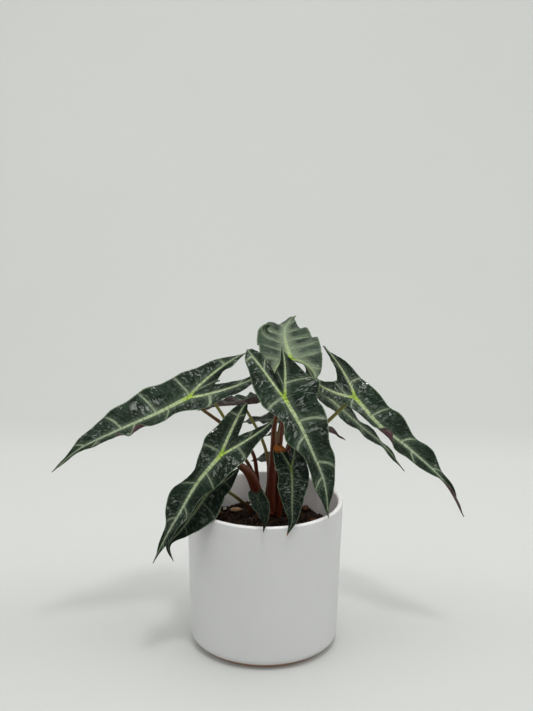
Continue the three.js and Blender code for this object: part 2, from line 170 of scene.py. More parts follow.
class NodeShape:
    # a geometry node tree with named inputs, used once on an object and turned into a plain mesh
    def __init__(self, name, inputs):
        self.tree = bpy.data.node_groups.new(name, "GeometryNodeTree")
        face = self.tree.interface
        face.new_socket("Geometry", in_out="INPUT", socket_type="NodeSocketGeometry")
        kinds = {float: "NodeSocketFloat", int: "NodeSocketInt"}
        self.keys = {}
        for key, value in inputs.items():
            item = face.new_socket(key, in_out="INPUT", socket_type=kinds[type(value)])
            self.keys[key] = item.identifier
        self.values = inputs
        face.new_socket("Geometry", in_out="OUTPUT", socket_type="NodeSocketGeometry")
        self.start = self.tree.nodes.new("NodeGroupInput")
        self.end = self.tree.nodes.new("NodeGroupOutput")

    def given(self, name="Geometry"):
        return Signal(self.tree, self.start.outputs[name])

    def add(self, kind, settings=None, *values, output=0, **named):
        return addNode(self.tree, kind, settings, *values, output=output, **named)

    def vector(self, x=0.0, y=0.0, z=0.0):
        return self.add("ShaderNodeCombineXYZ", None, x, y, z)

    def store(self, geometry, name, value, domain="POINT"):
        return self.add("GeometryNodeStoreNamedAttribute", {"data_type": "FLOAT", "domain": domain},
                        geometry, None, name, value)

    def close(self, geometry, material):
        real = self.add("GeometryNodeRealizeInstances", None, geometry)
        looked = self.add("GeometryNodeSetMaterial", None, real, Material=material)
        self.tree.links.new(looked.socket, self.end.inputs[0])

    def apply(self, base, name, material):
        modifier = base.modifiers.new("shape", "NODES")
        modifier.node_group = self.tree
        for key, value in self.values.items():
            modifier[self.keys[key]] = value
        bpy.context.view_layer.update()
        evaluated = base.evaluated_get(bpy.context.evaluated_depsgraph_get())
        mesh = bpy.data.meshes.new_from_object(evaluated)
        base.modifiers.remove(modifier)
        bpy.data.objects.remove(base)
        mesh.materials.clear()
        mesh.materials.append(material)
        return placeMesh(mesh, name)


def placeMesh(mesh, name):
    mesh.name = name
    mesh.polygons.foreach_set("use_smooth", [True] * len(mesh.polygons))
    piece = bpy.data.objects.new(name, mesh)
    bpy.context.scene.collection.objects.link(piece)
    return piece


def meshFrom(points, faces, name, material=None):
    mesh = bpy.data.meshes.new(name)
    mesh.from_pydata([tuple(p) for p in points], [], [tuple(f) for f in faces])
    mesh.update()
    if material:
        mesh.materials.append(material)
    return placeMesh(mesh, name)


def storeValues(mesh, name, values, domain="POINT"):
    mesh.attributes.new(name, "FLOAT", domain).data.foreach_set("value", np.asarray(values, np.float32))


def lowAndHigh(node):
    low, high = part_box(node)
    return Vector(low), Vector(high)


# curves and widths that the blades share

def ease(x):
    x = np.clip(x, 0.0, 1.0)
    return x * x * (3.0 - 2.0 * x)


def unit(vectors):
    return vectors / np.maximum(np.linalg.norm(vectors, axis=-1, keepdims=True), 1e-9)


def smoothCurve(stations, steps=40):
    # centripetal curve through the stations, with the same number of points in each span
    points = np.array(stations, float)
    points = np.vstack([2 * points[0] - points[1], points, 2 * points[-1] - points[-2]])
    spans = []
    for i in range(1, len(points) - 2):
        p0, p1, p2, p3 = points[i - 1:i + 3]
        t0 = 0.0
        t1 = t0 + np.linalg.norm(p1 - p0) ** 0.5
        t2 = t1 + np.linalg.norm(p2 - p1) ** 0.5
        t3 = t2 + np.linalg.norm(p3 - p2) ** 0.5
        lastSpan = i == len(points) - 3
        t = np.linspace(t1, t2, steps, endpoint=lastSpan)[:, None]
        a1 = (t1 - t) / (t1 - t0) * p0 + (t - t0) / (t1 - t0) * p1
        a2 = (t2 - t) / (t2 - t1) * p1 + (t - t1) / (t2 - t1) * p2
        a3 = (t3 - t) / (t3 - t2) * p2 + (t - t2) / (t3 - t2) * p3
        b1 = (t2 - t) / (t2 - t0) * a1 + (t - t0) / (t2 - t0) * a2
        b2 = (t3 - t) / (t3 - t1) * a2 + (t - t1) / (t3 - t1) * a3
        spans.append((t2 - t) / (t2 - t1) * b1 + (t - t1) / (t2 - t1) * b2)
    return np.vstack(spans)


def lengthAlong(points):
    return np.concatenate([[0.0], np.cumsum(np.linalg.norm(np.diff(points, axis=0), axis=1))])


def evenly(points, count):
    along = lengthAlong(points)
    wanted = np.linspace(0.0, along[-1], count)
    return np.stack([np.interp(wanted, along, column) for column in points.T], -1)


def bend(start, control, end, count):
    t = np.linspace(0.0, 1.0, 60)[:, None]
    start, control, end = (np.array(p, float) for p in (start, control, end))
    return evenly((1 - t) ** 2 * start + 2 * t * (1 - t) * control + t * t * end, count)


def smoothValue(values, place):
    values = np.array(values, float)
    last = len(values) - 1
    padded = np.concatenate([[2 * values[0] - values[1]], values, [2 * values[-1] - values[-2]]])
    scaled = np.clip(place, 0.0, 1.0) * last
    cell = np.minimum(scaled.astype(int), last - 1)
    t = scaled - cell
    p0, p1, p2, p3 = (padded[cell + k] for k in range(4))
    bent = 2 * p0 - 5 * p1 + 4 * p2 - p3
    turned = 3 * p1 - p0 - 3 * p2 + p3
    return 0.5 * (2 * p1 + (p2 - p0) * t + bent * t * t + turned * t ** 3)


# leaf blades, in millimetres and degrees
# look: one of bladeKinds; veins, lobeVeins: how many side veins the blade and a lobe have
# spine: from between the two lobes, through the stalk's junction, to the tip
# up: the blade's facing along the spine, -1 between the lobes, 0 at the junction, 1 at the tip
# notch: how far back the two lobes part; wave, waves: height and number of the margin's ripples
# widths: half widths from junction to tip; lobe: its tip, across and back; fold: how steeply the half
# rises; bulge: what the lobe's outer edge bends towards, across and as a share of the lobe's length
# inner: the same for its inner edge, as shares of the lobe's width and of its length past the notch
# curls: where a margin rolls, as (place, reach, degrees, hinge), counting places from -2 at the notch
# over -1 at the lobe's tip and 0 at the junction to 1 at the tip; dry: withered spots (x, y, z, size)
# stalk, radii: its path from the crown to the junction; olive: how green the stalk is

bladeLook = {
    "columns": 20, "rows": 96, "lobeRows": 30,
    "thickness": 0.55, "marginThickness": 0.3,
    "ribWidth": 2.7, "ribDepth": 1.2, "ribRise": 0.35,
    "quilt": 1.1, "wrinkle": 0.2, "sweep": 0.16, "veinCurve": 0.12, "lobeVeinCurve": -0.2,
    "inner": (0.62, 0.25), "fullLength": 90, "spineSteps": 40,
    "stagger": 0.35, "rippleShift": 0.3, "rippleFade": 0.15,  # one half against the other, and at the tip
}

leaves = {
    "left_long": {
        "look": "bright", "wave": 1.5, "waves": 4, "notch": 23, "veins": 4, "lobeVeins": 1.6,
        "spine": [(-13, 2, 236), (-61, -8, 212), (-86, -13, 200), (-120, -20, 186), (-147, -28, 174),
                  (-168, -34, 157)],
        "up": [(-1, (0.25, -0.6, 0.8)), (0.7, (0.15, -0.6, 0.8)), (1, (-0.3, -0.8, 0.4))],
        "right": {"widths": [21, 22, 23, 19, 15, 8, 3], "lobe": (11, 57), "fold": 8,
                  "bulge": (20, 0.55), "curls": [(-1.42, 0.2, 170, 0.62)]},
        "left": {"widths": [16, 9, 12, 12, 7, 4, 2], "lobe": (14, 66), "fold": 16,
                 "bulge": (25, 0.6), "curls": [(0.34, 0.05, 200, 0.62), (0.46, 0.035, 190, 0.66)]},
        "stalk": [(-6, 21, 109), (-7, 18, 137), (-11, 11, 160), (-23, 5, 175), (-36, 0, 188),
                  (-53, -6, 203), (-60, -7, 210)],
        "radii": [1.9, 1.7, 1.5, 1.5, 1.4, 1.3], "olive": 0.25,
    },
    "left_under": {
        "look": "glossy", "wave": 1, "waves": 3, "notch": 7, "veins": 4, "lobeVeins": 1,
        "spine": [(-38, 24, 212), (-52, 22, 212), (-74, 22, 202), (-96, 20, 191), (-114, 16, 180)],
        "up": [(-1, (0.2, -0.4, 0.9)), (1, (0.1, -0.5, 0.8))],
        "right": {"widths": [11, 12, 11, 8, 5, 2], "lobe": (6, 15), "fold": 8, "bulge": (11.5, 0.6)},
        "left": {"widths": [9, 10, 10, 8, 5, 2], "lobe": (6, 15), "fold": 8, "bulge": (9.3, 0.6)},
        "stalk": [(-5, 26, 109), (-10, 21, 137), (-22, 17, 161), (-34, 16, 187), (-46, 18, 205),
                  (-51, 21, 211)],
        "radii": [1.8, 1.5, 1.4, 1.3, 1.2], "olive": 0.95,
    },
    "front_left": {
        "look": "glossy", "wave": 1.5, "waves": 3.5, "notch": 19, "veins": 3.2, "lobeVeins": 1.5,
        "spine": [(-7, -22, 203), (-34, -38, 175), (-52, -46, 155), (-66, -53, 132), (-77, -58, 113),
                  (-87, -62, 93)],
        "up": [(-1, (-0.3, -0.75, 0.6)), (0, (-0.3, -0.8, 0.55)), (1, (-0.4, -0.85, 0.3))],
        "right": {"widths": [18, 13, 8.5, 15, 11, 5, 1.5], "lobe": (12, 44), "fold": 18,
                  "bulge": (19, 1), "inner": (0.5, 0.8), "curls": [(0.2, 0.06, -70, 0.6)]},
        "left": {"widths": [21, 19, 15, 11, 9, 6, 3], "lobe": (17, 45), "fold": 18,
                 "bulge": (24, 1), "inner": (0.65, 0.55), "curls": [(0.25, 0.08, -50, 0.6)]},
        "stalk": [(-3, 15, 109), (-8, 8, 130), (-14, -2, 147), (-24, -15, 160), (-33, -35, 173)],
        "radii": [4.6, 4.4, 3.4, 2.2, 1.8], "olive": 0.1,
    },
    "front_left_under": {
        "look": "dark", "wave": 1, "waves": 3, "notch": 13, "veins": 3, "lobeVeins": 1,
        "spine": [(-24, -22, 168), (-42, -35, 146), (-54, -43, 130), (-66, -49, 115), (-75, -53, 104),
                  (-71, -58, 93)],
        "up": [(-1, (-0.2, -0.7, 0.65)), (0, (-0.2, -0.75, 0.6)), (1, (-0.2, -0.85, 0.4))],
        "right": {"widths": [12, 11, 10, 8, 6, 4, 2], "lobe": (9, 26), "fold": 6, "bulge": (12.3, 0.6)},
        "left": {"widths": [14, 17, 17, 14, 8, 3, 1], "lobe": (9, 26), "fold": 6, "bulge": (14.5, 0.6)},
        "stalk": [(-13, 23, 105), (-20, 16, 115), (-29, -4, 130), (-37, -24, 142), (-42, -34, 145)],
        "radii": [1.5, 1.3, 1.2, 1.2], "olive": 1.3,
    },
    "centre_front": {
        "look": "bright", "wave": 1.2, "waves": 4, "notch": 21, "veins": 2.9, "lobeVeins": 1.3,
        "spine": [(-1, -14, 252), (14, -29, 219), (26, -37, 200), (37, -42, 177), (46, -45, 155),
                  (50, -47, 126)],
        "up": [(-1, (0.35, -0.8, 0.5)), (0, (0.3, -0.8, 0.5)), (1, (0.2, -0.9, 0.3))],
        "right": {"widths": [25, 14, 20, 11, 9.5, 11, 5], "lobe": (17, 44), "fold": 20,
                  "bulge": (28, 0.98), "inner": (0, 0.9), "curls": [(-1, 0.13, 150, 0.4)]},
        "left": {"widths": [31, 25, 21, 16, 14, 8.5, 2.5], "lobe": (13, 38), "fold": 25,
                 "bulge": (18, 0.4), "curls": [(0.12, 0.05, -60, 0.6)]},
        "stalk": [(5, 19, 109), (5, 17, 133), (6, 8, 163), (7, -5, 190), (11, -21, 210), (13, -27, 217)],
        "radii": [3.4, 2.6, 2.3, 2, 1.7], "olive": 0.0,
    },
    "top_back": {
        "look": "matt", "wave": 2, "waves": 3.5, "notch": 5, "veins": 5, "lobeVeins": 2,
        "spine": [(20, -20, 226), (19, 10, 240), (16, 36, 244), (15, 70, 248), (19, 90, 251),
                  (25, 104, 253)],
        "up": [(-1, (0.05, 0.15, 1)), (0, (0.05, -0.05, 1)), (1, (0.05, 0.1, 1))],
        "right": {"widths": [25, 27, 26, 23, 18, 11, 4], "lobe": (18.5, 30), "fold": 12,
                  "bulge": (26, 0.7), "inner": (0.85, 0.1), "curls": [(-1.5, 0.15, 120, 0.7)]},
        "left": {"widths": [26, 26, 25, 23, 18, 11, 3], "lobe": (13.5, 26), "fold": 12,
                 "bulge": (26, 0.7), "curls": [(0.42, 0.09, 200, 0.6)]},
        "stalk": [(8, 25, 109), (11, 24, 150), (15, 18, 200), (18, 12, 238)],
        "radii": [2.2, 1.8, 1.6, 1.4], "olive": 0.4,
    },
    "right_long": {
        "look": "bright", "wave": 1.5, "waves": 4, "notch": 20, "veins": 4, "lobeVeins": 1.6,
        "spine": [(41, 14, 236), (71, 6, 209), (91, 0, 188), (116, -8, 170), (145, -16, 144),
                  (160, -20, 118)],
        "up": [(-1, (0.1, -0.65, 0.75)), (0, (0, -0.7, 0.75)), (0.7, (0.2, -0.65, 0.7)), (1,
               (0.6, -0.6, 0.3))],
        "right": {"widths": [11, 6, 9, 11, 8, 4, 2], "lobe": (18, 37), "fold": 14,
                  "bulge": (25, 0.5), "curls": [(0.265, 0.055, 220, 0.3), (0.86, 0.14, 170, 0.15)]},
        "left": {"widths": [16, 17, 18, 12, 11, 5, 2], "lobe": (13.5, 47), "fold": 12,
                 "bulge": (17, 0.55), "curls": [(-1.4, 0.2, 110, 0.7)]},
        "stalk": [(12, 19, 109), (14, 22, 135), (21, 20, 158), (36, 17, 172), (50, 13, 186),
                  (64, 8, 202), (70, 7, 207)],
        "radii": [2.4, 2, 1.8, 1.6, 1.5, 1.4], "olive": 0.8, "dry": [(46, -4, 240, 7)],
    },
    "right_under": {
        "look": "grey", "wave": 1.2, "waves": 4, "notch": 14, "veins": 4, "lobeVeins": 1.3,
        "spine": [(22, 52, 226), (43, 50, 204), (62, 48, 187), (81, 45, 171), (100, 41, 156),
                  (117, 35, 136)],
        "up": [(-1, (0.25, -0.35, 0.9)), (1, (0.4, -0.4, 0.8))],
        "right": {"widths": [12, 12, 11, 10, 8, 6, 3], "lobe": (8, 26), "fold": 5, "bulge": (12.5, 0.6)},
        "left": {"widths": [10, 9, 8, 6, 5, 3, 1], "lobe": (9, 26), "fold": 5, "bulge": (10, 0.6)},
        "stalk": [(11, 29, 109), (14, 34, 140), (22, 28, 165), (31, 34, 188), (42, 49, 202)],
        "radii": [1.8, 1.6, 1.4, 1.2], "olive": 0.5,
    },
    "back_left": {
        "look": "bright", "wave": 1.5, "waves": 3, "notch": 12, "veins": 3, "lobeVeins": 1.3,
        "spine": [(8, 46, 192), (-19, 52, 188), (-32, 59, 185), (-46, 66, 181), (-59, 71, 176)],
        "up": [(-1, (0, -0.1, 1)), (0.3, (0, -0.05, 1)), (0.7, (0, 0.35, 0.95)), (1, (0, 0.5, 0.9))],
        "right": {"widths": [17, 17, 15, 11, 7, 3], "lobe": (13, 42), "fold": 12, "bulge": (17.5, 0.6)},
        "left": {"widths": [15, 15, 14, 11, 7, 3], "lobe": (13, 42), "fold": 40, "bulge": (15, 0.6)},
        "stalk": [(1, 31, 109), (3, 32, 129), (1, 34, 150), (-5, 38, 166), (-12, 44, 177), (-18, 51, 186)],
        "radii": [1.8, 1.5, 1.3, 1.1], "olive": 0.9,
    },
    "back_middle": {
        "look": "grey", "wave": 1.2, "waves": 3, "notch": 9, "veins": 3, "lobeVeins": 1,
        "spine": [(31, 46, 176), (13, 51, 175), (0, 56, 173), (-14, 61, 170), (-28, 66, 166)],
        "up": [(-1, (0, -0.1, 1)), (1, (0, -0.1, 1))],
        "right": {"widths": [14, 14, 12, 9, 5, 2], "lobe": (11, 22), "fold": 8, "bulge": (14.5, 0.6)},
        "left": {"widths": [12, 12, 10, 8, 5, 2], "lobe": (11, 22), "fold": 12, "bulge": (12, 0.6)},
        "stalk": [(4, 33, 109), (6, 36, 135), (9, 40, 157), (12, 48, 172)],
        "radii": [1.7, 1.4, 1.2], "olive": 0.4,
    },
    "back_right": {
        "look": "glossy", "wave": 1, "waves": 3, "notch": 9, "veins": 3, "lobeVeins": 1,
        "spine": [(4, 54, 158), (22, 61, 160), (38, 70, 159), (56, 80, 155), (70, 88, 145)],
        "up": [(-1, (0, 0.25, 1)), (1, (0, 0.4, 0.9))],
        "right": {"widths": [11, 11, 10, 8, 5, 2], "lobe": (9, 22), "fold": 30, "bulge": (11.5, 0.6)},
        "left": {"widths": [11, 11, 10, 8, 5, 2], "lobe": (9, 22), "fold": 8, "bulge": (11.5, 0.6)},
        "stalk": [(9, 34, 109), (13, 45, 135), (20, 56, 154), (22, 61, 158)],
        "radii": [1.6, 1.4, 1.2], "olive": 0.3,
    },
    "behind_stalks": {
        "look": "dark", "wave": 0.6, "waves": 2, "notch": 5, "veins": 3, "lobeVeins": 1,
        "spine": [(22, 56, 137), (8, 60, 138), (-2, 66, 136), (-13, 72, 130)],
        "up": [(-1, (0, -0.25, 1)), (1, (0, -0.3, 1))],
        "right": {"widths": [10, 10, 8, 5, 2], "lobe": (7, 14), "fold": 5, "bulge": (10.5, 0.6)},
        "left": {"widths": [10, 10, 8, 5, 2], "lobe": (7, 14), "fold": 5, "bulge": (10.5, 0.6)},
        "stalk": [(2, 35, 107), (5, 46, 124), (8, 60, 136)],
        "radii": [1.4, 1.2, 1], "olive": 0.3,
    },
    "small_front": {
        "look": "dark", "wave": 1, "waves": 3, "notch": 10, "veins": 3.4, "lobeVeins": 1,
        "spine": [(17, -28, 178), (20, -38, 165), (21, -47, 150), (21, -55, 138), (21, -61, 129),
                  (17, -67, 119)],
        "up": [(-1, (0, -0.8, 0.6)), (0, (0, -0.85, 0.55)), (1, (0, -0.9, 0.4))],
        "right": {"widths": [13, 11, 12, 10, 7, 4, 2], "lobe": (7, 20), "fold": 18,
                  "bulge": (14.5, 0.95), "inner": (0.2, 0.8)},
        "left": {"widths": [13, 14, 13, 10, 8, 5, 2], "lobe": (6, 19), "fold": 18,
                 "bulge": (14, 0.9), "inner": (0.2, 0.8)},
        "stalk": [(12, 14, 107), (16, 4, 130), (19, -17, 152), (20, -36, 164)],
        "radii": [1.7, 1.5, 1.3], "olive": 0.4, "dry": [(9, -24, 180, 10), (17, -68, 118, 4)],
    },
    "tiny_front": {
        "look": "black", "wave": 0.5, "waves": 2, "notch": 2.5, "veins": 3, "lobeVeins": 0.8,
        "spine": [(-7, -54, 152), (-6, -58, 148), (-3, -62, 142), (-1, -65, 136), (0, -67, 131),
                  (-1, -70, 123)],
        "up": [(-1, (-0.1, -0.8, 0.5)), (0, (-0.1, -0.85, 0.5)), (1, (0, -0.9, 0.3))],
        "right": {"widths": [7, 7, 7, 5, 4, 2, 1], "lobe": (4, 6), "fold": 25, "bulge": (7.5, 0.6)},
        "left": {"widths": [6, 7, 7, 6, 4, 2, 1], "lobe": (4, 6), "fold": 25, "bulge": (6.5, 0.6)},
        "stalk": [(3, 10, 105), (1, -2, 122), (-3, -30, 142), (-6, -56, 147)],
        "radii": [1.2, 1, 0.9], "olive": 0.5, "dry": [(-1, -71, 122, 2.5)],
    },
}


def bladeSpine(leaf):
    # how far the blade runs ahead of the junction, and a function that gives the place on its middle,
    # the way it faces and the way to its side, at a distance from the junction
    steps = bladeLook["spineSteps"]
    points = smoothCurve(leaf["spine"], steps)
    along = lengthAlong(points) - lengthAlong(points)[steps]
    behind, ahead = -along[0], along[-1]
    places = [place * (ahead if place > 0 else behind) for place, _ in leaf["up"]]
    facing = unit(np.array([direction for _, direction in leaf["up"]], float))
    up = np.stack([np.interp(along, places, facing[:, k]) for k in range(3)], -1)
    forward = unit(np.gradient(points, along, axis=0))
    up = unit(up - (up * forward).sum(-1, keepdims=True) * forward)
    side = unit(np.cross(forward, up))

    def at(distance):
        inside = np.clip(distance, along[0], along[-1])
        pick = lambda table: np.stack([np.interp(inside, along, table[:, k]) for k in range(3)], -1)
        place = pick(points) + unit(pick(forward)) * (distance - inside)[..., None]
        return place, unit(pick(up)), unit(pick(side))

    return ahead, at


def fineness(length):
    # short blades have finer ribs and a shallower relief
    return min(1.0, length / bladeLook["fullLength"])


def halfRows(leaf, half, length):
    # rows of one half of the flat blade: root and margin points, place of the veins, rib width and
    # curve of the veins there, how far the row is from the notch, and its place for the curls
    widths = half["widths"] + [0.0]
    lobeOut, lobeBack = half["lobe"]
    notch = leaf["notch"]
    shoulder = widths[0]
    count = bladeLook["lobeRows"] + 1
    hollow, hollowPlace = half.get("inner", bladeLook["inner"])
    hollowPoint = (hollow * lobeOut, -notch - hollowPlace * (lobeBack - notch))
    inner = bend((0, -notch), hollowPoint, (lobeOut, -lobeBack), count)
    bulge, bulgePlace = half["bulge"]
    outer = bend((lobeOut, -lobeBack), (bulge, -bulgePlace * lobeBack), (shoulder, 0), count)
    start = (1 - np.linspace(0.0, 1.0, count)[:, None]) ** 1.5
    vein = (inner + outer[::-1] - start * (shoulder, -notch)) / 2
    s = np.linspace(0.0, 1.0, bladeLook["rows"] + 1)[1:]
    swept = s + bladeLook["sweep"] * s * (1 - s)
    width = np.maximum(smoothValue(widths, swept), 0.0)
    root = np.vstack([vein, vein[::-1][1:], np.stack([0 * s, s * length], -1)])
    margin = np.vstack([inner, outer[1:], np.stack([width, swept * length], -1)])
    lobeVeins = leaf["lobeVeins"]
    back = np.linspace(0.0, 1.0, count)
    bladeVeins = leaf["veins"] * (s + 0.1 * s * (1 - s))
    phase = np.concatenate([lobeVeins * (back - 2), -lobeVeins * (1 - back[1:]), bladeVeins])
    # the rib narrows towards the blade's tip and into the lobes
    lobeRib = 1 - 0.75 * np.concatenate([back, back[::-1][1:]])
    ribScale = fineness(length)
    rib = bladeLook["ribWidth"] * ribScale * np.concatenate([0.75 * lobeRib, 0.75 - 0.6 * s])
    ribHalf = np.maximum(rib, 0.25 * ribScale)
    lobeArch = bladeLook["lobeVeinCurve"]
    arch = np.concatenate([np.full(count, lobeArch), np.linspace(lobeArch, 1, count)[1:], np.ones(len(s))])
    fromNotch = np.concatenate([back, np.ones(count - 1 + len(s))])
    rowPlace = np.concatenate([back - 2, back[1:] - 1, s])
    return root, margin, phase, ribHalf, arch * bladeLook["veinCurve"], fromNotch, rowPlace


def bladeHalf(leaf, sign, length, at, seed):
    half = leaf["right"] if sign > 0 else leaf["left"]
    root, margin, phase, ribHalf, arch, fromNotch, rowPlace = halfRows(leaf, half, length)
    t = np.linspace(0.0, 1.0, bladeLook["columns"] + 1)[None, :] ** 1.15  # closer by the midrib
    flat = root[:, None, :] * (1 - t[..., None]) + margin[:, None, :] * t[..., None]
    across, along = flat[..., 0], flat[..., 1]
    rowWidth = np.linalg.norm(margin - root, axis=1)[:, None]
    offset = 0.0 if sign > 0 else bladeLook["stagger"]
    veins = phase[:, None] + offset - arch[:, None] * t ** 2
    ribs = t * rowWidth / ribHalf[:, None]

    shift = bladeLook["rippleShift"] if sign > 0 else 0.0
    turn = 2 * np.pi * ((along / length) * leaf["waves"] + shift)
    fade = ease((length - along) / (bladeLook["rippleFade"] * length)) * (t * fromNotch[:, None]) ** 2
    rise = leaf["wave"] * np.sin(turn) * fade

    # the blade bulges between the veins and sinks along them
    between = np.abs(((veins + 0.5) % 1.0) - 0.5) * 2
    scale = fineness(length)
    room = ease(rowWidth / 9) * ease(t * rowWidth / 5) * ease(across / 4)
    rise = rise + bladeLook["quilt"] * scale * (ease(between * 1.8) - 0.5) * room
    wrinkle = np.sin(veins * 17 + across * 0.5 + seed) * np.sin(across * 0.8 + along * 0.3 + seed * 2)
    wrinkle = wrinkle + 0.6 * np.sin(along * 0.9 + seed) * np.sin(across * 1.3 - along * 0.7)
    rise = rise + bladeLook["wrinkle"] * wrinkle * room
    rise = rise + bladeLook["ribRise"] * scale * np.exp(-(ribs / 0.9) ** 2)

    # a rolled margin turns round a line part of the way out
    out = across * np.cos(np.radians(half["fold"]))
    lift = across * np.sin(np.radians(half["fold"])) + rise
    for place, reach, degrees, hinge in half.get("curls", []):
        amount = np.radians(degrees) * np.exp(-((rowPlace[:, None] - place) / reach) ** 2)
        part = np.clip((t - hinge) / (1 - hinge), 0, 1)
        angle = amount * part
        span = part * (1 - hinge) * rowWidth
        safe = np.where(np.abs(angle) < 1e-4, 1e-4, angle)
        out = out - span + span * np.sin(safe) / safe
        lift = lift + span * (1 - np.cos(safe)) / safe
    centre, up, side = at(along)
    points = centre + side * (sign * out)[..., None] + up * lift[..., None]
    tGrid = np.broadcast_to(t, across.shape)
    return {"points": points, "t": tGrid, "veins": veins, "ribs": ribs, "sign": sign, "ribHalf": ribHalf}


def joinHalves(halves):
    # both halves' grids in one list: points, the marks on them, four-cornered faces and margin edges
    points, marks, faces, rims = [], [], [], []
    start = 0
    for half in halves:
        rows, columns = half["t"].shape
        index = start + np.arange(rows * columns).reshape(rows, columns)
        start += rows * columns
        points.append(half["points"].reshape(-1, 3))
        ribHalf = np.broadcast_to(half["ribHalf"][:, None], (rows, columns))
        marks.append(np.stack([half["t"], half["veins"], half["ribs"], ribHalf], -1).reshape(-1, 4))
        a, b = index[:-1, :-1].ravel(), index[:-1, 1:].ravel()
        d, c = index[1:, :-1].ravel(), index[1:, 1:].ravel()
        quads = [a, b, c, d] if half["sign"] > 0 else [a, d, c, b]
        faces.append(np.stack(quads, -1))
        edge = index[:, -1]
        pairs = [edge[:-1], edge[1:]] if half["sign"] > 0 else [edge[1:], edge[:-1]]
        rims.append(np.stack(pairs, -1))
    return np.vstack(points), np.vstack(marks), np.vstack(faces), np.vstack(rims)


def pointNormals(points, faces):
    normals = np.zeros_like(points)
    for corners in ((0, 1, 2), (0, 2, 3)):
        one, two, three = (points[faces[:, n]] for n in corners)
        area = np.cross(two - one, three - one)
        for n in corners:
            np.add.at(normals, faces[:, n], area)
    return unit(normals)


def shellFaces(faces, rims, same, total):
    # faces of the upper side, the underside and the margin, with the grid corners that they take their
    # marks from, and 0, 1 or between for how far under each one is
    polygons, corners, under = [], [], []
    for quad, raw in zip(same[faces], faces):
        kept = [k for k in range(4) if quad[k] != quad[(k + 1) % 4]]
        if len({quad[k] for k in kept}) < 3:
            continue
        polygons.append([int(quad[k]) for k in kept])
        corners.append([raw[k] for k in kept])
        under.append(0.0)
        polygons.append([int(quad[k]) + total for k in reversed(kept)])
        corners.append([raw[k] for k in reversed(kept)])
        under.append(1.0)
    bySame = {int(m): r for r, m in enumerate(same)}
    edges = same[rims]
    for one, two in edges[edges[:, 0] != edges[:, 1]]:
        polygons.append([int(two), int(one), int(one) + total, int(two) + total])
        corners.append([bySame[int(v)] for v in (two, one, one, two)])
        under.append(0.3)
    return polygons, corners, under


def buildBlade(name, leaf, material, seed):
    length, at = bladeSpine(leaf)
    halves = [bladeHalf(leaf, sign, length, at, seed) for sign in (1, -1)]
    points, marks, faces, rims = joinHalves(halves)

    # corners that coincide on the midrib, at the notch and at the tip become one
    _, first, same = np.unique(np.round(points, 4), axis=0, return_index=True, return_inverse=True)
    same = same.ravel()
    surface, mark = points[first], marks[first]
    thick, thin = bladeLook["thickness"], bladeLook["marginThickness"]
    depth = thick + (thin - thick) * ease(mark[:, 0])
    keel = bladeLook["ribDepth"] * fineness(length) * np.exp(-(mark[:, 2] / 1.1) ** 2)
    keel = keel * np.clip(mark[:, 3] / 1.3, 0, 1)
    lower = surface - pointNormals(surface, same[faces]) * (depth + keel)[:, None]
    both = np.vstack([surface, lower])

    polygons, corners, under = shellFaces(faces, rims, same, len(surface))
    piece = meshFrom(both * mm, polygons, f"blade_{name}", material)
    mesh = piece.data
    uv = mesh.uv_layers.new(name="blade")
    flatCorners = np.array([c for face in corners for c in face])
    uv.data.foreach_set("uv", marks[flatCorners][:, :2].astype(np.float32).ravel())
    storeValues(mesh, "ribs", np.concatenate([mark[:, 2], mark[:, 2]]))
    storeValues(mesh, "underside", under, "FACE")
    storeValues(mesh, "fromJunction", np.linalg.norm(both - leaf["spine"][1], axis=1))
    dry = np.zeros(len(both))
    for x, y, z, size in leaf.get("dry", []):
        dry = np.maximum(dry, 1.4 - np.linalg.norm(both - (x, y, z), axis=1) / size)
    storeValues(mesh, "dry", np.clip(dry, 0, 1))
    return piece


# paintedSheenGreen is the colour of the painted highlights on the quilting
bladeColours = {
    "deepGreen": (0.0040, 0.0110, 0.0055), "freshGreen": (0.011, 0.032, 0.012),
    "greyGreen": (0.105, 0.145, 0.098), "paintedSheenGreen": (0.230, 0.270, 0.225),
    "veinGreen": (0.340, 0.420, 0.270), "ribGreen": (0.430, 0.530, 0.270),
    "junctionGreen": (0.350, 0.520, 0.060), "marginGreen": (0.190, 0.260, 0.150),
    "underPurple": (0.085, 0.036, 0.044), "underGrey": (0.140, 0.105, 0.100),
    "underRib": (0.200, 0.150, 0.090),
    "tipBrown": (0.420, 0.130, 0.020), "tipBlack": (0.012, 0.008, 0.006),
}

# pale: grey-green wash over the blade; veins, rib: how pale they stand out; fresh: lighter green
# patches; paintedGlints: how strongly painted highlights show on the quilting; coat: gloss of the wet-looking
# skin
bladeKinds = {
    "bright": {
        "pale": 0.05, "veins": 0.8, "rib": 1.0, "fresh": 0.8, "paintedGlints": 0.62, "roughness": 0.24, "coat": 1.0,
    },
    "glossy": {
        "pale": 0.0, "veins": 0.5, "rib": 0.95, "fresh": 0.5, "paintedGlints": 0.42, "roughness": 0.24, "coat": 1.0,
    },
    "matt": {
        "pale": 0.42, "veins": 1.0, "rib": 1.0, "fresh": 1.0, "paintedGlints": 0.5, "roughness": 0.38, "coat": 0.2,
    },
    "grey": {
        "pale": 0.16, "veins": 0.45, "rib": 0.6, "fresh": 0.6, "paintedGlints": 0.4, "roughness": 0.34, "coat": 0.4,
    },
    "dark": {
        "pale": 0.0, "veins": 0.14, "rib": 0.35, "fresh": 0.05, "paintedGlints": 0.24, "roughness": 0.2, "coat": 0.6,
    },
    "black": {
        "pale": 0.0, "veins": 0.06, "rib": 0.06, "fresh": 0.3, "paintedGlints": 0.1, "roughness": 0.2, "coat": 0.7,
    },
}


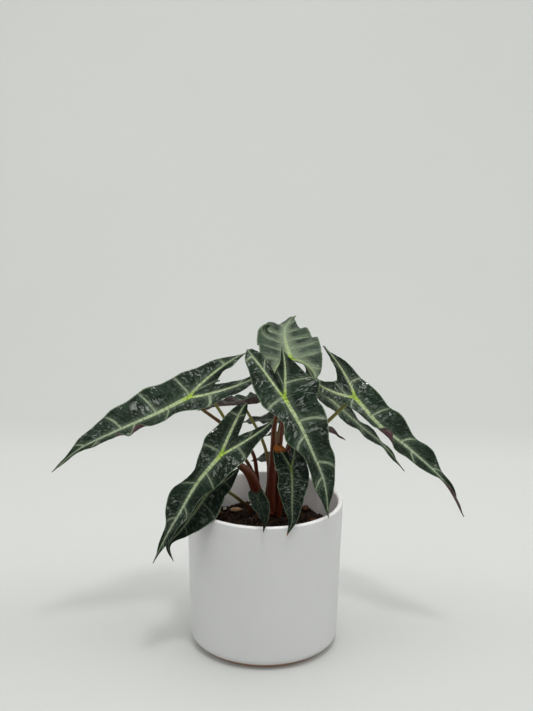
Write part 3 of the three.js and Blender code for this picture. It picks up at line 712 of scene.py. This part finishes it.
def bladeFinish(name, kind):
    make = Finish(name, Specular_IOR_Level=0.07, Coat_Roughness=0.1, Coat_IOR=1.75)
    tree = make.tree
    uv = addNode(tree, "ShaderNodeUVMap", {"uv_map": "blade"})
    parts = addNode(tree, "ShaderNodeSeparateXYZ", None, uv)
    across, phase = parts, parts.out("Y")
    ribs = make.attribute("ribs")
    underside = make.attribute("underside").step(0.2, 0.8)
    nearJunction = make.attribute("fromJunction").step(1.5, 9.0, 1.0, 0.0)
    towardsJunction = make.attribute("fromJunction").step(8.0, 70.0, 1.0, 0.0)
    dry = make.attribute("dry")
    pale, veins = kind["pale"], kind["veins"]
    c = bladeColours

    # veins lie where the phase is whole; each has a pale core and a soft halo
    wander = make.noise(90.0, 2.0) - 0.5
    vein = ((phase + wander * 0.05 + 0.5).fract() - 0.5).absolute()
    reach = across.step(0.7, 1.0, 1.0, 0.3)
    veinCore = vein.step(0.012, 0.048, 1.0, 0.0) * reach
    veinHalo = vein.step(0.01, 0.16 + pale * 0.5, 1.0, 0.0) * reach
    fine = ((phase * 6.0 + wander * 1.6 + across * 0.8).fract() - 0.5).absolute().step(0.0, 0.14, 1.0, 0.0)
    net = make.cells(330.0, "DISTANCE_TO_EDGE").step(0.0, 0.10, 1.0, 0.0)
    ribCore = ribs.step(0.6, 1.15, 1.0, 0.0)
    ribHalo = ribs.step(0.9, 3.6 + pale * 7.0, 1.0, 0.0)
    margin = across.step(0.95, 0.98, 0.0, 1.0)

    patches = make.noise(70.0, 4.0, 0.6).step(0.35, 0.7)
    blade = make.mix(patches * kind["fresh"], c["deepGreen"], c["freshGreen"])
    if pale > 0:
        blade = make.mix(patches * pale + pale * 0.45, blade, c["greyGreen"])
    # painted highlight: streaks on the quilting between the veins are painted a lighter sheen green, in some
    # places more than in others
    drift = make.noise(30.0, 1.0) * 2.0
    ridges = addNode(tree, "ShaderNodeCombineXYZ", None, across * 4.0, phase * 13.0, drift)
    crinkle = make.noise(1.0, 2.0, 0.5, where=ridges, distortion=0.9)
    gathered = make.noise(42.0, 1.0).step(0.42, 0.60)
    streaks = crinkle.step(0.52, 0.66)
    blade = make.mix(streaks * (gathered * 0.8 + 0.2) * kind["paintedGlints"], blade, c["paintedSheenGreen"])
    blade = make.mix((fine * 0.17 + net * 0.05) * (0.1 + 0.9 * veins), blade, c["greyGreen"])
    haloGreen = tuple(low + (high - low) * pale * 1.6 for low, high in zip(c["greyGreen"], c["veinGreen"]))
    blade = make.mix(veinHalo * (veins * 0.4 + pale * 0.5), blade, haloGreen)
    blade = make.mix(ribHalo * (kind["rib"] * 0.5 + pale * 0.8), blade, haloGreen)
    blade = make.mix(veinCore * veins, blade, c["veinGreen"])
    ribColour = make.mix(towardsJunction, c["veinGreen"], c["ribGreen"])
    ribColour = make.mix(nearJunction, ribColour, c["junctionGreen"])
    blade = make.mix(ribCore * kind["rib"], blade, ribColour)
    blade = make.mix(margin * 0.75, blade, c["marginGreen"])
    withered = make.mix(dry.step(0.75, 0.98), c["tipBrown"], c["tipBlack"])
    blade = make.mix(dry.step(0.25, 0.6), blade, withered)

    back = make.mix(patches, c["underPurple"], c["underGrey"])
    back = make.mix((veinCore + ribCore).maths("MINIMUM", 1.0) * 0.5, back, c["underRib"])
    back = make.mix(dry.step(0.25, 0.6), back, withered)
    colour = make.mix(underside, blade, back)

    grain = make.noise(420.0, 2.0)
    roughness = kind["roughness"] + patches * 0.08 + veinCore * 0.12 + underside * 0.25 + (grain - 0.5) * 0.06
    pucker = make.cells(230.0, "SMOOTH_F1")
    height = crinkle * 1.1 + pucker * 0.6 + fine * 0.2 - veinCore * 0.4
    normal = make.bump(height, 1.0, 0.0026)
    gloss = (streaks * (gathered * 0.9 + 0.1) * 0.9 + 0.06) * kind["coat"]
    return make.finish(colour, roughness, normal, gloss)


# leaf stalks: a tube along each path, by geometry nodes

stalkLook = {
    "sides": 20, "step": 0.0016, "ripple": 0.00018,
    "pathSteps": 14, "baseFlare": 1.15,
    "gather": 0.85, "rootShift": (0.3, 3.5, -11),  # the root lies inside the crown, below the first point
    "oliveFrom": 0.7,  # a leaf's olive value above which its stalk counts as an olive one
}


def stalkShape(material):
    inputs = {"Sides": stalkLook["sides"], "Step": stalkLook["step"], "Ripple": stalkLook["ripple"]}
    shape = NodeShape("stalkAlongPath", inputs)
    curve = shape.add("GeometryNodeMeshToCurve", None, shape.given())
    curve = shape.add("GeometryNodeResampleCurve", {"mode": "LENGTH"}, curve, Length=shape.given("Step"))
    thick = shape.add("GeometryNodeInputNamedAttribute", {"data_type": "FLOAT"}, "thick")
    along = shape.add("GeometryNodeSplineParameter")
    curve = shape.store(curve, "along", along)
    ring = shape.add("GeometryNodeCurvePrimitiveCircle", None, Resolution=shape.given("Sides"), Radius=1.0)
    around = shape.add("GeometryNodeSplineParameter")
    ring = shape.store(ring, "around", around)
    tube = shape.add("GeometryNodeCurveToMesh", None, curve, ring, Scale=thick, Fill_Caps=True)
    normal = shape.add("GeometryNodeInputNormal")
    noise = shape.add("ShaderNodeTexNoise", None, Scale=260.0, Detail=2.0)
    amount = (noise - 0.5) * shape.given("Ripple") * 2.0
    offset = shape.add("ShaderNodeVectorMath", {"operation": "SCALE"}, normal, Scale=amount)
    tube = shape.add("GeometryNodeSetPosition", None, tube, Offset=offset)
    shape.close(tube, material)
    return shape


def buildStalk(name, leaf, shape, material):
    x, y, z = leaf["stalk"][0]
    gather = stalkLook["gather"]
    shiftX, shiftY, shiftZ = stalkLook["rootShift"]
    root = (x * gather + shiftX, y * gather + shiftY, z + shiftZ)
    path = smoothCurve([root] + leaf["stalk"], stalkLook["pathSteps"]) * mm
    place = lengthAlong(path) / lengthAlong(path)[-1]
    thick = smoothValue([leaf["radii"][0] * stalkLook["baseFlare"]] + leaf["radii"], place) * mm
    mesh = bpy.data.meshes.new("path")
    mesh.from_pydata([tuple(p) for p in path], [(i, i + 1) for i in range(len(path) - 1)], [])
    storeValues(mesh, "thick", thick)
    base = bpy.data.objects.new("path", mesh)
    bpy.context.scene.collection.objects.link(base)
    piece = shape.apply(base, f"petiole_{name}", material)
    storeValues(piece.data, "olive", [leaf["olive"]] * len(piece.data.vertices))
    return piece


def stalkFinish():
    make = Finish("stalkSkin", Specular_IOR_Level=0.25, Coat_Weight=0.1, Coat_Roughness=0.2)
    along = make.attribute("along")
    around = make.attribute("around")
    olive = make.attribute("olive")
    greener = ((along - 0.75) * 1.6 + olive).step(0.15, 1.0)
    reds = [(0.0, (0.140, 0.026, 0.010)), (0.35, (0.105, 0.020, 0.009)), (1.0, (0.145, 0.055, 0.018))]
    dark = make.ramp(along, reds)
    mottle = make.noise(300.0, 3.0)
    green = make.mix(mottle, (0.16, 0.15, 0.030), (0.24, 0.24, 0.055))
    colour = make.mix(greener, dark, green)
    streak = make.noise(60.0, 3.0, where=make.stretched(9, 9, 1)).step(0.45, 0.75)
    colour = make.mix(streak * 0.35, colour, (0.20, 0.09, 0.045))
    ridges = (around * 14.0).fract() - 0.5
    height = ridges.absolute() * 0.6 + mottle * 0.4
    return make.finish(colour, 0.36 + mottle * 0.15, make.bump(height, 0.25, 0.0005))


# pot: a profile turned round the axis, by geometry nodes

potLook = {
    "turns": 180, "wobble": 0.00012, "wall": 4.2, "rimHeight": 124.4,
    "footRadius": 53.5, "footHeight": 3.5, "footBevel": 0.8, "flare": 0.15,
    "baseRadius": 60.9, "shoulder": 11.0, "floor": 9.0, "innerFoot": 20, "paintedInsideRadius": 0.0600,
}


def potProfile():
    # from the middle of the underside, out and up the outer wall, over the lip and down to the floor
    low, high = lowAndHigh("pot")
    rimRadius = (high.x - low.x) / 2 / mm
    p = potLook
    lip = p["wall"] / 2
    foot, bevel = p["footRadius"], p["footBevel"]
    heel = (foot + p["flare"], p["footHeight"])
    points = [(0, 0), (18, 0), (36, 0), (foot - bevel, 0), (foot, bevel), (foot, 2.2), heel]
    curve = bend(heel, (p["baseRadius"], p["footHeight"]), (p["baseRadius"], p["shoulder"]), 10)
    points += [tuple(q) for q in curve[1:]]
    rise = np.linspace(0, 1, 26)[1:-1]
    top = p["rimHeight"] - lip
    widening = rimRadius - p["baseRadius"]
    points += [(p["baseRadius"] + widening * r, p["shoulder"] + (top - p["shoulder"]) * r) for r in rise]
    lipCentre = rimRadius - lip
    for angle in np.radians(np.linspace(0, 180, 13)):
        points.append((lipCentre + lip * math.cos(angle), top + lip * math.sin(angle)))
    inner = p["baseRadius"] - p["wall"]
    mouth, innerFoot = rimRadius - p["wall"], p["innerFoot"]
    points += [(mouth + (inner - rimRadius + p["wall"]) * r, top + (innerFoot - top) * r) for r in rise]
    points += [(inner, innerFoot), (inner - 1.2, 13), (inner - 4.2, p["floor"])]
    points += [(26, p["floor"]), (0, p["floor"])]
    return points


def buildPot(material):
    points = potProfile()
    mesh = bpy.data.meshes.new("profile")
    edges = [(i, i + 1) for i in range(len(points) - 1)]
    mesh.from_pydata([(r * mm, 0, z * mm) for r, z in points], edges, [])
    base = bpy.data.objects.new("profile", mesh)
    bpy.context.scene.collection.objects.link(base)

    inputs = {"Turns": potLook["turns"], "Profile Points": len(points), "Wobble": potLook["wobble"]}
    shape = NodeShape("turnedPot", inputs)
    rows = shape.given("Profile Points")
    turns = shape.given("Turns")
    gridRows = shape.add("GeometryNodeMeshGrid", None, 1.0, 1.0, turns + 1.0, rows)
    index = shape.add("GeometryNodeInputIndex")
    row = index.maths("MODULO", rows)
    column = (index / rows).maths("FLOOR")
    place = shape.add("GeometryNodeInputPosition")
    sampled = shape.add("GeometryNodeSampleIndex", {"data_type": "FLOAT_VECTOR"}, shape.given(), place, row)
    split = shape.add("ShaderNodeSeparateXYZ", None, sampled)
    radius, height = split, split.out("Z")
    angle = column / turns * (2 * math.pi)
    wobble = (angle * 2.0).maths("SINE") * shape.given("Wobble") * (height * 8.0)
    wide = radius + wobble * (radius * 16.0).maths("MINIMUM", 1.0)
    spot = shape.vector(wide * angle.maths("COSINE"), wide * angle.maths("SINE"), height)
    turned = shape.add("GeometryNodeSetPosition", None, gridRows, None, spot)
    closed = shape.add("GeometryNodeMergeByDistance", None, turned, Distance=0.00001)
    shape.close(closed, material)
    piece = shape.apply(base, "pot_body", material)
    faceOut(piece)
    return piece


def faceOut(piece):
    work = bmesh.new()
    work.from_mesh(piece.data)
    bmesh.ops.remove_doubles(work, verts=work.verts, dist=1e-6)
    bmesh.ops.dissolve_degenerate(work, edges=work.edges, dist=1e-7)
    bmesh.ops.recalc_face_normals(work, faces=work.faces)
    if work.calc_volume(signed=True) < 0:
        bmesh.ops.reverse_faces(work, faces=work.faces)
    work.to_mesh(piece.data)
    work.free()


def potFinish():
    make = Finish("paleCeramic", Specular_IOR_Level=0.5)
    split = addNode(make.tree, "ShaderNodeSeparateXYZ", None, make.place)
    height = split.out("Z")
    cloud = make.noise(14.0, 3.0)
    colour = make.mix(cloud, (0.605, 0.607, 0.608), (0.665, 0.665, 0.662))
    specks = make.noise(900.0, 2.0).step(0.70, 0.78)
    colour = make.mix(specks * 0.10, colour, (0.35, 0.35, 0.35))
    # painted light: the inner wall is painted whiter, and the lip is painted whiter as a painted highlight
    x, y = split, split.out("Y")
    edgeOfInside = potLook["paintedInsideRadius"]
    inside = (x * x + y * y).maths("SQRT").step(edgeOfInside - 0.0006, edgeOfInside, 1.0, 0.0)
    inside = inside * height.step(0.011, 0.013)
    paintedRimHighlight = height.step(0.1228, 0.1240)
    colour = make.mix(inside.maths("MAXIMUM", paintedRimHighlight), colour, (0.92, 0.91, 0.89))
    edge = make.noise(70.0, 2.0) * 0.0016
    bare = (height + edge).step(0.0036, 0.0046, 1.0, 0.0)
    clay = make.mix(make.noise(500.0), (0.36, 0.20, 0.12), (0.52, 0.34, 0.24))
    colour = make.mix(bare, colour, clay)
    roughness = 0.40 + (cloud - 0.5) * 0.10 + bare * 0.35
    fineGrain = make.noise(1400.0, 2.0)
    soft = make.noise(40.0, 2.0)
    normal = make.bump(soft, 0.10, 0.0008)
    normal = make.bump(fineGrain, 0.08, 0.0002, normal)
    return make.finish(colour, roughness, normal)


# soil: a bumpy disc with crumbs, bark flakes and perlite scattered over it by geometry nodes

soilLook = {
    "rings": 60, "sides": 180, "edgeHeight": 96.0, "mound": 6.0, "moundAt": (2, 23), "moundSpread": 63.5,
    "underside": 80.0, "openRings": 24, "openSides": 90, "openMargin": 2.5,
}

# chunks scattered over the soil: how many, their smallest and largest sizes, how flat and how long
looseBits = {
    "soil_crumbs": {
        "look": "soil", "count": 2600, "sizes": (0.5, 1.7), "flatness": 0.8, "length": 1.0, "seed": 3,
    },
    "bark_flakes": {
        "look": "bark", "count": 420, "sizes": (1.0, 2.6), "flatness": 0.3, "length": 1.8, "seed": 5,
    },
    "perlite_grains": {
        "look": "perlite", "count": 90, "sizes": (0.3, 0.8), "flatness": 0.9, "length": 1.0, "seed": 9,
    },
}


def soilHeight(x, y):
    # millimetres; the same mound as the solid below it
    centreX, centreY = soilLook["moundAt"]
    away = np.hypot(x - centreX, y - centreY) / soilLook["moundSpread"]
    bumps = np.sin(x * 0.31 + 1) * np.cos(y * 0.27) + 0.5 * np.sin(x * 0.11 - y * 0.19)
    lumps = 0.5 * np.sin(x * 1.1 + 2) * np.sin(y * 1.3)
    lumps = lumps + 0.35 * np.sin(x * 2.3 + y * 1.9) * np.cos(y * 2.1 - x)
    mound = soilLook["edgeHeight"] + soilLook["mound"] * np.exp(-3 * away ** 2)
    return mound + 1.2 * bumps * np.minimum(1, 2 * away) + lumps


def soilRadius():
    low, high = lowAndHigh("soil")
    return (high.x - low.x) / 2 / mm


def moundRings(radius, rings, turn, lift=0.0):
    # rings of points on the mound, from its edge inwards
    points = []
    for k in range(rings):
        r = radius * (1 - k / rings)
        x, y = r * np.cos(turn), r * np.sin(turn)
        points += list(np.stack([x, y, soilHeight(x, y) + lift], -1))
    return points


def moundSlice(i, j, rings, sides, top):
    # the faces between the spokes i and j, from the edge to the top point
    faces = []
    for k in range(rings - 1):
        outer, inner = k * sides, (k + 1) * sides
        faces.append((outer + i, outer + j, inner + j, inner + i))
    last = (rings - 1) * sides
    return faces + [(last + i, last + j, top)]


def buildSoil(material):
    radius = soilRadius()
    rings, sides, underside = soilLook["rings"], soilLook["sides"], soilLook["underside"]
    turn = np.linspace(0, 2 * np.pi, sides, endpoint=False)
    points = moundRings(radius, rings, turn)
    for r, z in ((radius - 1, underside + 2), (radius - 6, underside)):
        points += list(np.stack([r * np.cos(turn), r * np.sin(turn), 0 * turn + z], -1))
    top = len(points)
    points.append(np.array([0, 0, soilHeight(0.0, 0.0)]))
    points.append(np.array([0, 0, underside]))
    skirt, floor = rings * sides, (rings + 1) * sides
    faces = []
    for i in range(sides):
        j = (i + 1) % sides
        faces += moundSlice(i, j, rings, sides, top)
        faces.append((skirt + i, skirt + j, j, i))
        faces.append((floor + i, floor + j, skirt + j, skirt + i))
        faces.append((floor + j, floor + i, top + 1))
    piece = meshFrom(np.array(points) * mm, faces, "soil_bed", material)
    faceOut(piece)
    return piece


def openSoil():
    # the part of the soil that can be seen, as a sheet to scatter on
    rings, sides = soilLook["openRings"], soilLook["openSides"]
    turn = np.linspace(0, 2 * np.pi, sides, endpoint=False)
    points = moundRings(soilRadius() - soilLook["openMargin"], rings, turn, 0.2)
    top = len(points)
    points.append(np.array([0, 0, soilHeight(0.0, 0.0)]))
    faces = []
    for i in range(sides):
        faces += moundSlice(i, (i + 1) % sides, rings, sides, top)
    return meshFrom(np.array(points) * mm, faces, "openSoil")


def scatter(name, bits, ground, material):
    # chunks stand on the ground, turned at random, each with its own tint
    area = sum(polygon.area for polygon in ground.data.polygons)
    smallest, largest = bits["sizes"]
    shape = NodeShape(f"{name}Scatter", {
        "Density": bits["count"] / area, "Smallest": smallest * mm, "Largest": largest * mm,
        "Seed": bits["seed"], "Flatness": bits["flatness"], "Length": bits["length"],
    })
    seed = shape.given("Seed")
    dots = shape.add("GeometryNodeDistributePointsOnFaces", {"distribute_method": "RANDOM"}, shape.given(),
                     Density=shape.given("Density"), Seed=seed)
    ball = shape.add("GeometryNodeMeshIcoSphere", None, 1.0, 1)
    rough = shape.add("ShaderNodeTexNoise", None, Scale=1.1, Detail=1.0, output=1)
    push = shape.add("ShaderNodeVectorMath", {"operation": "MULTIPLY_ADD"}, rough,
                     (1.7, 1.7, 1.7), (-0.85, -0.85, -0.85))
    ball = shape.add("GeometryNodeSetPosition", None, ball, Offset=push)
    spin = shape.add("FunctionNodeRandomValue", {"data_type": "FLOAT_VECTOR"},
                     (0, 0, 0), (6.28, 6.28, 6.28), Seed=seed)
    size = shape.add("FunctionNodeRandomValue", {"data_type": "FLOAT"}, None, None, shape.given("Smallest"),
                     shape.given("Largest"), Seed=seed, output=1)
    stretch = shape.vector(size * shape.given("Length"), size, size * shape.given("Flatness"))
    many = shape.add("GeometryNodeInstanceOnPoints", None, dots, None, ball, None, None, spin, stretch)
    tint = shape.add("FunctionNodeRandomValue", {"data_type": "FLOAT"}, None, None, 0.0, 1.0,
                     Seed=seed, output=1)
    many = shape.store(many, "tint", tint, "INSTANCE")
    shape.close(many, material)
    copy = bpy.data.objects.new("ground", ground.data.copy())
    bpy.context.scene.collection.objects.link(copy)
    piece = shape.apply(copy, name, material)
    piece.data.polygons.foreach_set("use_smooth", [False] * len(piece.data.polygons))
    return piece


def earthFinish(name, dark, light, scale=700.0):
    make = Finish(name, Specular_IOR_Level=0.3)
    tint = make.attribute("tint")
    grain = make.noise(scale, 4.0, 0.6)
    colour = make.mix(grain.step(0.3, 0.75), dark, light)
    colour = make.mix(tint * 0.6, colour, tuple(0.35 * v for v in dark))
    crust = make.cells(scale * 0.6)
    return make.finish(colour, 0.72 + grain * 0.25, make.bump(crust + grain, 0.6, 0.0006))


# crown, chips and grains

lumpDetail = 4


def lumpy(name, node, material, seed, roughness):
    # a closed lump in place of the node's box
    low, high = lowAndHigh(node)
    centre, half = (low + high) / 2, (high - low) / 2
    work = bmesh.new()
    bmesh.ops.create_icosphere(work, subdivisions=lumpDetail, radius=1.0)
    for vert in work.verts:
        p = vert.co.copy()
        wave = math.sin(p.x * 4.1 + seed) * math.sin(p.y * 3.7 - seed)
        wave += 0.6 * math.sin(p.z * 6.3 + p.x * 5 + seed)
        ridge = math.sin(p.x * 11 + p.z * 7 + seed) * math.sin(p.y * 13 - seed)
        blocky = Vector([math.copysign(abs(v) ** 0.8, v) for v in p])
        p = blocky * (1 - roughness * 0.5 + roughness * 0.5 * wave + roughness * 0.2 * ridge)
        vert.co = centre + Vector([p.x * half.x, p.y * half.y, p.z * half.z])
    mesh = bpy.data.meshes.new(name)
    work.to_mesh(mesh)
    work.free()
    mesh.materials.append(material)
    return placeMesh(mesh, name)


# materials

materials = {
    **{name: bladeFinish(f"{name}Blade", kind) for name, kind in bladeKinds.items()},
    "stalk": stalkFinish(),
    "pot": potFinish(),
    "soil": earthFinish("darkSoil", (0.009, 0.005, 0.003), (0.038, 0.018, 0.010)),
    "bark": earthFinish("barkFlakes", (0.018, 0.008, 0.004), (0.150, 0.060, 0.024), 500.0),
    "wood": earthFinish("paleWood", (0.30, 0.17, 0.08), (0.52, 0.35, 0.19), 400.0),
    "perlite": earthFinish("perliteGrain", (0.55, 0.53, 0.47), (0.78, 0.76, 0.70), 900.0),
}
print("materials made:", len(materials))

# pieces, each riding on the one body

def register(piece, nodes):
    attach(piece, "root")
    if nodes:
        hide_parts(*nodes)


register(buildPot(materials["pot"]), ["pot"])
print("pot turned")

tubeShape = stalkShape(materials["stalk"])
for seed, (name, leaf) in enumerate(leaves.items()):
    blade = buildBlade(name, leaf, materials[leaf["look"]], seed * 1.7)
    register(blade, [f"leaf_{name}"])
    stalk = buildStalk(name, leaf, tubeShape, materials["stalk"])
    slot = "stalk_olive" if leaf["olive"] > stalkLook["oliveFrom"] else "stalk_dark"
    register(stalk, [f"stalk_{name}"])
print("leaves and stalks grown:", len(leaves))

register(lumpy("crown_stub", "crown", materials["stalk"], 2.0, 0.25), ["crown"])
register(buildSoil(materials["soil"]), ["soil"])
ground = openSoil()
for name, bits in looseBits.items():
    register(scatter(name, bits, ground, materials[bits["look"]]), [])
bpy.data.objects.remove(ground)
for k in (1, 2, 3):
    chip = lumpy(f"bark_piece_{k}", f"bark_chip_{k}", materials["bark"], k * 2.3, 0.35)
    register(chip, [f"bark_chip_{k}"])
    grain = lumpy(f"perlite_piece_{k}", f"perlite_{k}", materials["perlite"], k * 3.1, 0.4)
    register(grain, [f"perlite_{k}"])
register(lumpy("wood_piece", "wood_chip", materials["wood"], 4.4, 0.25), ["wood_chip"])
print("soil and loose bits laid")


# floor, light and camera

studio = {
    "floorRise": 1.2, "floorFar": 0.42, "floorNear": -3.0, "halfWidth": 3.5, "floorTop": 4.0,
    "cameraDistance": 1.047, "cameraPitch": 15.15, "cameraRoll": 0.65, "lookHeight": 0.2448,
    "cameraAside": -0.0002, "lens": 66.84, "air": (0.95, 0.96, 0.95), "airStrength": 0.56,
}

# each lamp: its place, what it faces, its two sizes and its power
lamps = {
    "topSoftbox": ((0.05, 0.1, 1.9), (0, 0, 0), (3.0, 2.6), 20),
    "keyLamp": ((0.12, -0.55, 1.4), (0, 0, 0.15), (0.16, 0.16), 4.5),
    "leftSoftbox": ((-1.6, -0.9, 1.1), (0, 0, 0.15), (0.9, 1.2), 3.6),
    "rightSoftbox": ((1.6, -0.5, 1.2), (0, 0, 0.15), (0.9, 1.2), 4.6),
    "wallWash": ((0, 0.6, 2.4), (0, 2.0, 0.9), (2.5, 0.6), 3),
}


def buildFloor():
    make = Finish("paleFloor", Specular_IOR_Level=0.3)
    cloud = make.noise(2.0, 2.0)
    colour = make.mix(cloud, (0.580, 0.590, 0.570), (0.615, 0.625, 0.605))
    # painted light: the paper is painted lighter behind the pot, up to where it starts to rise
    split = addNode(make.tree, "ShaderNodeSeparateXYZ", None, make.place)
    behind = split.out("Y").step(-0.02, 0.16) * split.out("Z").step(0.0, 0.01, 1.0, 0.0)
    colour = make.mix(behind, colour, (0.665, 0.672, 0.655))
    paper = make.finish(colour, 0.45 + cloud * 0.1, make.bump(make.noise(300.0), 0.03, 0.0004))
    far, near, rise, wide = studio["floorFar"], studio["floorNear"], studio["floorRise"], studio["halfWidth"]
    profile = [(near, 0.0), (far, 0.0)]
    for angle in np.radians(np.linspace(8, 90, 14)):
        profile.append((far + rise * math.sin(angle), rise - rise * math.cos(angle)))
    profile.append((far + rise, studio["floorTop"]))
    points = [(x, y, z) for y, z in profile for x in (-wide, wide)]
    faces = [(2 * i, 2 * i + 1, 2 * i + 3, 2 * i + 2) for i in range(len(profile) - 1)]
    floor = meshFrom(points, faces, "studioFloor", paper)


def addLight(name, place, target, size, power):
    data = bpy.data.lights.new(name, "AREA")
    data.shape = "RECTANGLE"
    data.size, data.size_y = size
    data.energy = power
    lamp = bpy.data.objects.new(name, data)
    lamp.location = place
    lamp.rotation_euler = (Vector(target) - Vector(place)).to_track_quat("-Z", "Y").to_euler()
    bpy.context.scene.collection.objects.link(lamp)


def setCamera():
    data = bpy.data.cameras.new("camera")
    data.lens = studio["lens"]
    data.sensor_width = 36.0
    data.clip_start, data.clip_end = 0.05, 20.0
    camera = bpy.data.objects.new("camera", data)
    pitch = math.radians(studio["cameraPitch"])
    away = studio["cameraDistance"]
    height = studio["lookHeight"] + away * math.sin(pitch)
    camera.location = (studio["cameraAside"], -away * math.cos(pitch), height)
    tilt = Matrix.Rotation(math.pi / 2 - pitch, 4, "X")
    roll = Matrix.Rotation(math.radians(studio["cameraRoll"]), 4, "Z")
    camera.rotation_euler = (tilt @ roll).to_euler()
    bpy.context.scene.collection.objects.link(camera)
    bpy.context.scene.camera = camera


buildFloor()
for name, lamp in lamps.items():
    addLight(name, *lamp)
world = bpy.data.worlds.new("studioAir")
world.use_nodes = True
background = world.node_tree.nodes["Background"]
background.inputs[0].default_value = (*studio["air"], 1)
background.inputs[1].default_value = studio["airStrength"]
bpy.context.scene.world = world
bpy.context.scene.view_settings.view_transform = "Standard"
setCamera()
print("studio set")
